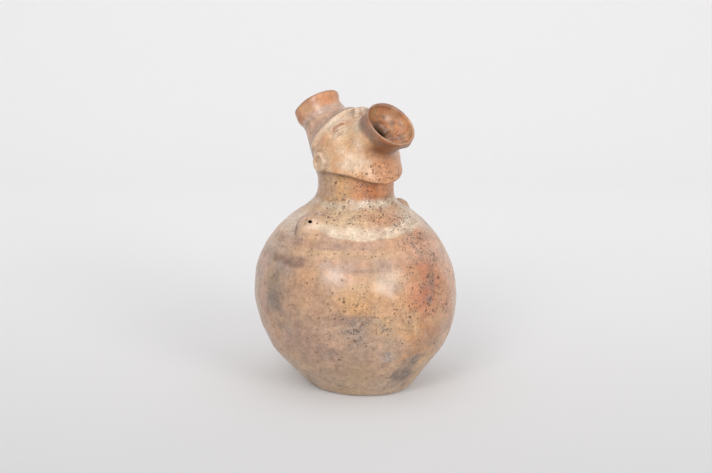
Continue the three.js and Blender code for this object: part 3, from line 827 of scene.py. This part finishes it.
def paint_head(coat):
    """Buff skull with painted shade in the groove behind the brow, and a paler face that reddens to the jaw.
    """
    p = coat.p
    z, turn = p[:, 2], azimuth_of(p)
    skull, face = skull_field(p), face_surface(p)
    brow, cheek, jaw = face_planes(p)
    on_face = fall(np.maximum(np.maximum(brow, cheek) + 0.5, jaw), -0.8, 0.8) * step(skull, 0.2, 1.6)
    soft = 1 + 9 * step(p[:, 1], 4, 20)
    above = fall(jaw + 0.25 * (soft - 1) * waves(p, 16, 54), -soft, soft)
    behind = above * (1 - on_face)
    past_brow = np.maximum(brow, 0)
    cone_run, _ = along(p, CROWN_HUB, CROWN_AXIS)
    coat.lay(tan=above, pink=0.6 * behind * step(cone_run, 22, 42))
    # Painted shade: lilac, smoke and grey darken the skull along the groove behind the brow, the grey lower
    # down. The skull behind the face turns mauve lower down.
    coat.lay(lilac=0.8 * behind * hump(past_brow, 0, 9), smoke=0.8 * behind * hump(past_brow, 0, 3.2))
    coat.lay(grey=0.6 * behind * hump(past_brow, 0, 9) * fall(z, 178, 196))
    coat.lay(mauve=0.7 * behind * fall(z, 170, 186))
    skin = Layers(p, "pink")
    skin.lay(gold=0.85 + 0.15 * waves(p, 21, 51))
    skin.lay(cream=0.26 + 0.62 * step(z, 182, 202) + 0.15 * waves(p, 16, 53))
    skin.lay(orange=0.15 + 0.2 * waves(p, 12, 52))
    skin.lay(orange=0.75 * step(turn, -44, -12) * fall(z, 170, 186))
    coat.cover(skin.tone, on_face)
    # Pale clay along the brow's crest, partly a painted highlight.
    crest = hump(np.hypot(face - 0.4, brow + BROW_ROLL_BACK), 0, 3.6) * step(z, 176, 184)
    coat.lay(cream=0.42 * crest)
    # Painted highlight: a cream patch on the cheek.
    coat.lay(cream=0.8 * on_face * spot(p, -47, 172, 11, 11, 91))
    for mirror in SIDES.values():
        paint_eye(coat, p * mirror)
        paint_ear(coat, p * mirror, skull)
        # Painted shade in the creases along the nose's wings.
        coat.lay(rust=0.6 * on_face * hump(nose_wing(p * mirror), 1.2, 0.9))
    # Painted highlight on the nose.
    down, across, _ = split((p - NOSE_CENTRE) @ NOSE_AXES.T)
    coat.lay(cream=0.35 * np.exp(-(np.hypot(down / 9, across / 5) ** 4)))


def spout_inside(p, depth, throat):
    """Rust and gold clay with crumbs of residue, darkened by painted shade towards the throat and deep
    inside.
    """
    inside = Layers(p, "rust")
    inside.lay(gold=0.5 + 0.25 * waves(p, 9, 62), orange=0.55 * step(p[:, 0], -6, 12))
    inside.lay(red=0.6 * crumbs(p, 50), smoke=0.6 * patchy(p, 0, 1, 6.5, 63) * step(depth, 4, 8))
    # Painted shade: a little darker all over and more towards the throat, almost black at the throat's mouth
    # and deep in the spout.
    inside.lay(soot=0.1 + 0.5 * fall(throat, 0, 10) + 0.1 * waves(p, 5, 66))
    inside.lay(soot=0.85 * fall(throat, -1, 3) * step(depth, 5, 9))
    inside.cover(DEEP_SHADE, step(depth, 12, 18))
    return inside


def paint_spouts(coat):
    p = coat.p
    depth, side, up, off_axis = mouth_place(p)
    # Painted shadow on the chin and muzzle under the mouth spout.
    coat.lay(umber=0.95 * fall(depth, 14, 26) * fall(up, -11, -2) * fall(off_axis, 22, 31))
    # The outer wall near the mouth's lip: dark red-brown, smoky on the figure's right, and darker towards its
    # underside.
    wall = Layers(p, "dark")
    wall.lay(red=0.35 + 0.3 * waves(p, 12, 61), rust=0.7 * fall(up, -10, 0))
    wall.lay(smoke=0.55 * fall(side, -12, -2) * ring(depth, 4, 11, 3, 3), soot=0.25 * fall(up, -12, -2))
    coat.cover(wall.tone, fall(depth, 9, 13) * fall(off_axis, 23, 26))
    throat = throat_rod(p)
    bowl = mouth_bowl(depth, side, up) - 3 * crumbs(p, 60)
    hollow = fall(smooth_min(bowl, throat, THROAT_FLARE), 0.3, 1.1) * fall(depth, 22, 34)
    inside = spout_inside(p, depth, throat)
    coat.cover(inside.tone, hollow)
    lip = hump(np.hypot(depth - 0.4, np.hypot(side, up) - LIP_RADIUS), 0, 1.2)
    coat.lay(dark=0.6 * lip * step(up, 2, 12), pink=0.5 * lip * fall(up, -4, 6))
    run, out = along(p, CROWN_HUB, CROWN_AXIS)
    depth = CROWN_REACH - run
    collar = Layers(p, "tan")
    collar.lay(orange=0.45 + 0.35 * waves(p, 15, 64), gold=0.1 + 0.3 * waves(p, 7, 65))
    collar.lay(red=0.25 + 0.2 * waves(p, 9, 67))
    coat.cover(collar.tone, fall(depth, 9.5, 14))
    coat.lay(lilac=0.5 * hump(depth, 13, 2.6) * step(out, 13, 15))
    coat.lay(dark=0.7 * hump(np.maximum(depth, 0), 0, 1.6))
    # Painted shade: the crown spout's bore grows dark with depth.
    inside.cover(DEEP_SHADE, step(depth, 6, 26))
    coat.cover(inside.tone, fall(out, 13, 15.5) * step(depth, 1.5, 4) * step(run, 2, 12))


def paint(p, field):
    """Linear tone, and marks: how pitted, how scuffed, how dull."""
    coat = Layers(p, "tan")
    coat.lay(rose=0.3 + 0.3 * waves(p, 70, 21), gold=0.2 + 0.25 * waves(p, 44, 22))
    coat.lay(mauve=0.1 + 0.2 * waves(p, 30, 23))
    z = p[:, 2]
    on_head = z.max() > NECK_TOP_Z + 10
    for layer in (paint_neck, paint_head, paint_spouts) if on_head else (paint_body, paint_neck):
        layer(coat)
    # Painted shade: hollows and creases are darkened with the dark soot tone, by how deep they lie under the
    # surface.
    normal = unit(gradient(field, p))
    recess_shade = np.clip(1 - field(p + 1.6 * normal) / 1.6, 0, 1)
    coat.lay(soot=0.45 * recess_shade)
    pits = spots(p, PIT_SPOTS) + 0.08 * fall(z, 130, 150)
    pits += sum(share * ring(z, *heights) * sector(p, *turns) for share, heights, turns in PIT_RINGS)
    pits *= np.clip(0.9 + 0.8 * waves(p, 13, 71), 0.1, 1.8)
    marks = np.stack([pits, spots(p, SCUFF_SPOTS), patchy(p, 0.35, 0.3, 34, 80)], 1)
    return coat.tone, np.clip(marks, 0, 1)


# Pieces

PIECES = {}
SPOUTS = {"mouth_spout": MOUTH_AXIS, "crown_spout": CROWN_AXIS}
INNER_SHADE = 0.4


def put(name, data):
    """A new object in the scene."""
    obj = bpy.data.objects.new(name, data)
    bpy.context.scene.collection.objects.link(obj)
    return obj


def mesh_object(name, verts, faces, normals, outer_count, coat):
    """Faces are lists of index arrays, quads or triangles. The first outer_count are the visible skin."""
    mesh = bpy.data.meshes.new(name)
    mesh.from_pydata((verts * MM).tolist(), [], [face for part in faces for face in part.tolist()])
    mesh.shade_smooth()
    sizes = np.concatenate([np.full(len(part), part.shape[1]) for part in faces])
    flat = np.concatenate([part.ravel() for part in faces])
    per_face = np.empty(len(sizes) * 3, np.float32)
    mesh.polygons.foreach_get("normal", per_face)
    corner_normals = np.repeat(per_face.reshape(-1, 3), sizes, axis=0)
    skin = int(sizes[:outer_count].sum())
    corner_normals[:skin] = normals[flat[:skin]]
    mesh.normals_split_custom_set(corner_normals.tolist())
    for channel, values in zip(("tone", "marks"), coat):
        layer = mesh.attributes.new(channel, "FLOAT_COLOR", "POINT")
        layer.data.foreach_set("color", np.c_[values, np.ones(len(values))].astype(np.float32).ravel())
    return put(name, mesh)


def gather(quads):
    used, flat = np.unique(quads, return_inverse=True)
    return used, flat.reshape(quads.shape)


def shell_piece(name, quads, outer, inner, normals, coat):
    """A wall: the outer skin, its inner side and the edge between them."""
    used, skin = gather(quads)
    n = len(used)
    edge = border_edges(skin)
    wall = np.stack([edge[:, 1], edge[:, 0], edge[:, 0] + n, edge[:, 1] + n], 1)
    verts = np.concatenate([outer[used], inner[used]])
    faces = [skin, skin[:, ::-1] + n, wall]
    tone, marks = (channel[used] for channel in coat)
    coat = [np.concatenate([tone, INNER_SHADE * tone]), np.concatenate([marks, marks])]
    return mesh_object(name, verts, faces, np.concatenate([normals[used]] * 2), len(skin), coat)


def chains(edges):
    """Closed loops of vertices, the longest last."""
    follow = {int(a): int(b) for a, b in edges}
    loops = []
    while follow:
        here, loop = next(iter(follow)), []
        while here in follow:
            loop.append(here)
            here = follow.pop(here)
        loops.append(np.array(loop))
    return sorted(loops, key=len)


def spout_piece(name, quads, outer, normals, coat, axis):
    """A spout's skin from its seat over the lip down into the bore, closed by a flat ring at its root."""
    used, skin = gather(quads)
    verts = outer[used]
    side = np.array([1, 0, 0])
    other = np.cross(axis, side)
    bore, root = chains(border_edges(skin))[-2:]

    def turns(loop):
        q = verts[loop] - verts[loop].mean(0)
        angle = np.arctan2(q @ other, q @ side)
        order = np.argsort(angle)
        return loop[order], angle[order]

    (a, at), (b, bt) = turns(root), turns(bore)
    i = j = 0
    closing = []
    while i < len(a) or j < len(b):
        here, there = a[i % len(a)], b[j % len(b)]
        if j == len(b) or (i < len(a) and at[i] <= bt[j]):
            closing.append((here, there, a[(i + 1) % len(a)]))
            i += 1
        else:
            closing.append((here, there, b[(j + 1) % len(b)]))
            j += 1
    closing = np.array(closing)
    a, b, c = (verts[closing[:, k]] for k in range(3))
    if (np.cross(b - a, c - a) @ axis).sum() > 0:
        closing = closing[:, ::-1]
    coat = [channel[used] for channel in coat]
    return mesh_object(name, verts, [skin, closing], normals[used], len(skin), coat)


def body_inner(p):
    """The wall's inner side, towards the middle of the ball in the body and level in the neck."""
    z = p[:, 2]
    towards = -p
    towards[:, 2] += BODY_CENTRE_Z + (z - BODY_CENTRE_Z) * step(z, 95, 140)
    towards = unit(towards)
    wall = BODY_WALL + (HEAD_WALL - BODY_WALL) * step(z, NECK_SEAT_Z, NECK_TOP_Z)
    facing = -(towards * unit(gradient(body_field, p))).sum(-1)
    return p + towards * (wall / np.maximum(facing, 0.6))[:, None]


def head_inner(p):
    """The skull's inner side, also behind the face and its features."""
    depth = np.maximum(skull_field(p), 0) + HEAD_WALL
    return p - unit(gradient(skull_field, p)) * depth[:, None]


def body_regions():
    tops = {"base_disc": BASE_TOP_Z, "lower_bowl": BODY_CENTRE_Z, "shoulder_dome": NECK_SEAT_Z,
            "neck_collar": NECK_TOP_Z}
    return [(name, lambda p, top=top: p[..., 2] - top) for name, top in tops.items()]


def head_regions():
    """The head's pieces, with fields that are negative where they lie. The nameless one is left out."""

    def mouth(p):
        run, out = along(p, MOUTH_HUB, MOUTH_AXIS)
        return np.maximum(MOUTH_REACH - MOUTH_SEAM - run, out - MOUTH_CLEAR)

    def crown(p):
        return CROWN_REACH - CROWN_SEAM - along(p, CROWN_HUB, CROWN_AXIS)[0]

    def hidden(p):
        """Skin inside the skull or in the passages under the spouts, which no piece needs."""
        run, out = along(p, CROWN_HUB, CROWN_AXIS)
        passage = np.minimum(throat_rod(p, 2), np.maximum(out - 13.5, 6 - run))
        return np.minimum(passage, np.maximum(skull_field(p) + 1, 152 - p[..., 2]))

    def ridge(p):
        return np.maximum(np.abs(face_planes(p)[0] + 1.2) - 2.6, TEMPLE[2] - p[..., 2])

    def slab(p):
        brow, cheek, jaw = face_planes(p)
        return np.maximum(np.maximum(brow, cheek) - 0.8, jaw - 1.2)

    regions = [("mouth_spout", mouth), ("crown_spout", crown), ("", hidden)]
    regions.append(("nose", lambda p: ellipsoid(p, NOSE_CENTRE, NOSE_AXES, NOSE_SIZE + 1)))
    for side, mirror in SIDES.items():
        for feature, *place in (("_eye", EYE_CENTRE, EYE_AXES, (6.4, 3.4, 6)),
                                ("_ear", EAR_CENTRE, EAR_AXES, (8, 7.6, 7))):
            regions.append((side + feature, lambda p, m=mirror, at=place: ellipsoid(p * m, *at)))
    regions += [("brow_roll", ridge), ("face_slab", slab), ("head_shell", lambda p: NECK_TOP_Z - p[..., 2])]
    return regions


def build_skin(field, box, cell, regions, inner_side):
    """Meshes a form, cuts it along its regions and makes a piece of each."""
    p, quads = surface_net(field, *box, cell)
    p = settle(p, field)
    label = label_faces(p, quads, regions)
    p = snap_seams(p, quads, label, regions, field)
    outer, inner = handmade(p), handmade(inner_side(p))
    normals = vertex_normals(outer, quads)
    coat = paint(p, field)
    for i, (name, _) in enumerate(regions):
        chosen = quads[label == i]
        if name in SPOUTS:
            PIECES[name] = spout_piece(name, chosen, outer, normals, coat, SPOUTS[name])
        elif name:
            PIECES[name] = shell_piece(name, chosen, outer, inner, normals, coat)


def build_lug(name, shape):
    def field(p):
        return lug_field(p, shape)

    foot = shape[0]
    p, quads = surface_net(field, foot - LUG_REACH, foot + LUG_REACH, LUG_CELL)
    p = part_twins(settle(p, field, 2), quads, field)
    outer = handmade(p)
    tone, marks = paint(p, field)
    marks[:, 2] = UNBURNISHED
    PIECES[name] = mesh_object(name, outer, [quads], vertex_normals(outer, quads), len(quads), (tone, marks))


# Clay

# Stains: noise scale, detail and roughness, its range, strength, more strength on smoked clay, and colour
STAINS = [(55, 3, 0.55, 0.52, 0.72, 0.2, 0, (0.55, 0.26, 0.12, 1)),
          (90, 4, 0.55, 0.54, 0.74, 0, 1, (0.36, 0.3, 0.26, 1)),
          (270, 5, 0.7, 0.56, 0.7, 0.1, 0.6, (0.52, 0.27, 0.14, 1)),
          (340, 5, 0.7, 0.56, 0.7, 0.1, 1.4, (0.24, 0.165, 0.12, 1)),
          (42, 4, 0.6, 0.5, 0.66, 0.12, 0.6, (0.52, 0.37, 0.19, 1)),
          (34, 5, 0.62, 0.5, 0.68, 0, 1, (0.33, 0.22, 0.14, 1))]
# Pits: cells in a metre, half width as a share of a cell, share of cells with a pit, and how they crowd
PIT_SIZES = [(340, 0.3, 0.8, 1), (190, 0.23, 0.4, 1), (450, 0.34, 0.9, 1), (560, 0.36, 0.8, 1),
             (800, 0.4, 0.45, 1), (215, 0.27, 0.85, 2.5)]
PIT_RAGGED = 0.0022
SCUFF_COLOUR = (0.44, 0.385, 0.335, 1)
CRACK_COLOUR = (0.13, 0.095, 0.075, 1)
PIT_COLOUR = (0.07, 0.036, 0.02, 1)
BUMP_DEPTH = 0.0005
# Clays: roughness of the burnish, and how smoked
CLAYS = {"buff_clay": (0.24, 0.26), "rose_clay": (0.24, 0.22), "pale_clay": (0.25, 0.08),
         "rim_clay": (0.3, 0.2)}
SLOTS = {"base_disc": "buff_clay", "lower_bowl": "buff_clay", "head_shell": "buff_clay",
         "shoulder_dome": "rose_clay", "neck_collar": "rose_clay",
         "mouth_spout": "rim_clay", "crown_spout": "rim_clay"}


class Look:
    """A material, with short calls for its nodes."""

    def __init__(self, name):
        self.material = bpy.data.materials.new(name)
        self.material.use_nodes = True
        self.tree = self.material.node_tree
        self.place = self.new("ShaderNodeTexCoord", {}).outputs["Object"]

    def fill(self, node, inputs):
        for key, value in inputs.items():
            if isinstance(value, bpy.types.NodeSocket):
                self.tree.links.new(value, node.inputs[key])
            else:
                node.inputs[key].default_value = value
        return node

    def new(self, kind, inputs, **settings):
        node = self.tree.nodes.new(kind)
        for key, value in settings.items():
            setattr(node, key, value)
        return self.fill(node, inputs)

    def shaded(self, inputs):
        self.fill(self.tree.nodes["Principled BSDF"], inputs)
        return self.material

    def math(self, operation, a, b=0, c=0):
        return self.new("ShaderNodeMath", {0: a, 1: b, 2: c}, operation=operation).outputs[0]

    def plus(self, a, b):
        return self.math("ADD", a, b)

    def minus(self, a, b):
        return self.math("SUBTRACT", a, b)

    def times(self, a, b):
        return self.math("MULTIPLY", a, b)

    def ramp(self, value, low, high, out_low=0, out_high=1):
        inputs = {"Value": value, "From Min": low, "From Max": high, "To Min": out_low, "To Max": out_high}
        return self.new("ShaderNodeMapRange", inputs, interpolation_type="SMOOTHSTEP").outputs[0]

    def noise(self, scale, detail, rough=0.55, place=None):
        inputs = {"Vector": place or self.place, "Scale": scale, "Detail": detail, "Roughness": rough}
        return self.new("ShaderNodeTexNoise", inputs).outputs["Fac"]

    def blend(self, share, a, b, mode="MIX"):
        inputs = {0: share, 6: a, 7: b}
        return self.new("ShaderNodeMix", inputs, data_type="RGBA", blend_type=mode).outputs[2]

    def attribute(self, name):
        return self.new("ShaderNodeAttribute", {}, attribute_name=name).outputs["Color"]


def pit_holes(n, pitted):
    """How deep a point is in a pit: ragged cells of several sizes, open by chance where clay is pitted."""
    jitter = n.new("ShaderNodeTexNoise", {"Vector": n.place, "Scale": 700, "Detail": 2}).outputs["Color"]
    jitter = n.new("ShaderNodeVectorMath", {0: jitter, 3: PIT_RAGGED}, operation="SCALE").outputs[0]
    ragged = n.new("ShaderNodeVectorMath", {0: n.place, 1: jitter}, operation="ADD").outputs[0]
    holes = 0
    for scale, size, share, crowding in PIT_SIZES:
        cell = n.new("ShaderNodeTexVoronoi", {"Vector": ragged, "Scale": scale})
        chance = n.new("ShaderNodeSeparateColor", {0: cell.outputs["Color"]}).outputs
        crowd = n.times(n.math("POWER", pitted, crowding), share)
        width = n.times(n.math("MULTIPLY_ADD", chance[1], 0.9, 0.4), size)
        near = n.minus(1, n.math("DIVIDE", cell.outputs["Distance"], width))
        hole = n.times(n.ramp(near, 0, 0.45), n.math("LESS_THAN", chance[0], crowd))
        hole = n.times(hole, n.math("MULTIPLY_ADD", chance[2], 0.35, 0.65))
        holes = n.math("MAXIMUM", holes, hole)
    return holes


def clay(name, shine, smoked):
    """Burnished clay. Tone and marks come from the vertices, the fine grain from the nodes."""
    n = Look(name)
    marks = n.new("ShaderNodeSeparateColor", {0: n.attribute("marks")})
    pitted, scuffed, dull = marks.outputs[0], marks.outputs[1], marks.outputs[2]
    mottle, grain = n.noise(150, 5, 0.6), n.noise(900, 3, 0.6)
    drift, speckle = n.noise(55, 3), n.noise(420, 4, 0.65)
    flat = n.new("ShaderNodeMapping", {"Vector": n.place, "Scale": (22, 22, 420)}).outputs[0]
    streak = n.noise(1, 4, 0.6, flat)
    axes = n.new("ShaderNodeSeparateXYZ", {0: n.place}).outputs
    turn = n.math("ARCTAN2", axes[0], axes[1])
    upright = n.new("ShaderNodeCombineXYZ", {0: n.times(turn, 34), 1: n.times(axes[2], 26)})
    stroke = n.noise(1, 4, 0.65, upright.outputs[0])
    shade = n.ramp(mottle, 0.3, 0.7, 0.92 - 0.5 * smoked, 1.05 + 0.3 * smoked)
    shade = n.times(shade, n.ramp(grain, 0.25, 0.75, 0.92, 1.07))
    shade = n.times(shade, n.ramp(speckle, 0.3, 0.7, 0.85, 1.12))
    brushed = n.times(n.minus(streak, 0.5), n.ramp(drift, 0.42, 0.6, 0.3, 0))
    brushed = n.math("MULTIPLY_ADD", n.minus(stroke, 0.5), n.ramp(drift, 0.4, 0.62, 0, 0.3), brushed)
    shade = n.times(shade, n.plus(brushed, 1))
    grey = n.new("ShaderNodeCombineColor", {0: shade, 1: shade, 2: shade}).outputs[0]
    colour = n.blend(1, n.attribute("tone"), grey, "MULTIPLY")
    for scale, detail, rough, low, high, strength, more, stain in STAINS:
        share = n.ramp(n.noise(scale, detail, rough), low, high, 0, strength + more * smoked)
        colour = n.blend(share, colour, stain)
    worn = n.ramp(n.plus(n.noise(380, 5, 0.7), n.times(scuffed, 0.26)), 0.66, 0.8)
    cracked = n.ramp(n.plus(n.noise(300, 5, 0.75), n.times(scuffed, 0.24)), 0.71, 0.79)
    holes = pit_holes(n, pitted)
    wear = ((worn, 0.3, SCUFF_COLOUR), (cracked, 0.55, CRACK_COLOUR), (holes, 0.85, PIT_COLOUR))
    for mark, strength, stain in wear:
        colour = n.blend(n.times(mark, strength), colour, stain)
    rough = n.plus(n.ramp(streak, 0.3, 0.7, shine - 0.02, shine + 0.03), n.times(dull, 0.1))
    rough = n.plus(rough, n.ramp(speckle, 0.5, 0.8, 0, 0.08))
    rough = n.plus(rough, n.times(n.math("MAXIMUM", worn, holes), 0.3))
    height = n.times(n.noise(120, 1, 0.4), 0.4)
    for part, depth in ((grain, 0.03), (brushed, 0.5), (holes, -0.9), (cracked, -0.4)):
        height = n.plus(height, n.times(part, depth))
    bump = n.new("ShaderNodeBump", {"Strength": 0.3, "Distance": BUMP_DEPTH, "Height": height})
    return n.shaded({"Base Color": colour, "Roughness": rough, "Normal": bump.outputs[0]})


# Stage: one floor that curves up into a backdrop, in metres

FLOOR_NEAR = 1.6
FLOOR_FAR = 0.75
SWEEP_RADIUS = 0.55
BACKDROP_TOP = 2.6
FLOOR_HALF_WIDTH = 2.4
# Paper tones, darker towards the camera as painted shade, and its glow, painted light that lightens the
# floor's shadows.
PAPER_DARK = (0.36, 0.356, 0.358, 1)
PAPER_PALE = (0.78, 0.773, 0.777, 1)
PAPER_GLOW = (1, 0.99, 0.995, 1)
# Lamps: azimuth, elevation, distance, size, power
LAMPS = {"left": (-61, 34, 1.4, 0.5, 7.2), "right": (-10, 20, 1.4, 0.55, 7.6),
         "top": (CAMERA_AZIMUTH, 80, 1.5, 1.6, 5.5)}
LAMP_AIM = np.array([0, 0, 0.11])
WORLD_STRENGTH = 0.55


def paper(front):
    """Paper painted darker towards the camera and pale at the back as painted shade, with a faint glow,
    painted light that lightens its shadows.
    """
    n = Look("paper")
    away = n.new("ShaderNodeVectorMath", {0: n.place, 1: tuple(-front)}, operation="DOT_PRODUCT")
    away = n.plus(away.outputs["Value"], n.times(n.noise(5, 3), 0.06))
    pale = n.blend(n.ramp(away, -0.6, 0.75), PAPER_DARK, PAPER_PALE)
    return n.shaded({"Base Color": pale, "Roughness": 0.9,
                     "Emission Color": PAPER_GLOW, "Emission Strength": 0.15})


def build_stage():
    front = direction(CAMERA_AZIMUTH, 0)
    sweep = [(-FLOOR_FAR - SWEEP_RADIUS * math.sin(t), SWEEP_RADIUS - SWEEP_RADIUS * math.cos(t))
             for t in np.linspace(0, math.pi / 2, 24)]
    verts, faces = [], []
    for i, (run, z) in enumerate([(FLOOR_NEAR, 0), *sweep, (-FLOOR_FAR - SWEEP_RADIUS, BACKDROP_TOP)]):
        for side in (-FLOOR_HALF_WIDTH, FLOOR_HALF_WIDTH):
            x, y, _ = front * run + SIDEWAYS * side
            verts.append((x, y, z))
        if i:
            faces.append((2 * i - 2, 2 * i - 1, 2 * i + 1, 2 * i))
    mesh = bpy.data.meshes.new("floor")
    mesh.from_pydata(verts, [], faces)
    mesh.shade_smooth()
    mesh.materials.append(paper(front))
    put("floor", mesh)


def aim_at(obj, aim, view, distance):
    """Puts a lamp or the camera at a distance from its aim, and turns it to the aim."""
    obj.location = aim + distance * view
    obj.rotation_euler = Vector(view).to_track_quat("Z", "Y").to_euler()


def area_light(name, azimuth, elevation, distance, size, power):
    lamp = bpy.data.lights.new(name, "AREA")
    lamp.size, lamp.energy = size, power
    aim_at(put(name, lamp), LAMP_AIM, direction(azimuth, elevation), distance)


def build_world():
    world = bpy.data.worlds.new("studio")
    bpy.context.scene.world = world
    world.use_nodes = True
    sky = world.node_tree.nodes["Background"]
    sky.inputs["Color"].default_value = (1, 1, 1, 1)
    sky.inputs["Strength"].default_value = WORLD_STRENGTH


def build_camera():
    camera = put("camera", bpy.data.cameras.new("camera"))
    camera.data.sensor_width = SENSOR_WIDTH
    camera.data.lens = SENSOR_WIDTH * FOCAL_LENGTH / PHOTO_WIDTH
    aim_at(camera, CAMERA_AIM, direction(CAMERA_AZIMUTH, CAMERA_ELEVATION), CAMERA_DISTANCE)
    bpy.context.scene.camera = camera
    bpy.context.scene.view_settings.view_transform = "Standard"


build_skin(body_field, BODY_BOX, BODY_CELL, body_regions(), body_inner)
build_skin(head_field, HEAD_BOX, HEAD_CELL, head_regions(), head_inner)
for lug_name, lug_shape in LUGS.items():
    build_lug(lug_name, lug_shape)

clays = {name: clay(name, *finish) for name, finish in CLAYS.items()}
for name, obj in PIECES.items():
    slot = SLOTS.get(name, "pale_clay")
    obj.data.materials.append(clays[slot])
    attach(obj, "root")
    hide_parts(name)

build_stage()
for lamp_name, lamp_place in LAMPS.items():
    area_light(lamp_name, *lamp_place)
build_world()
build_camera()
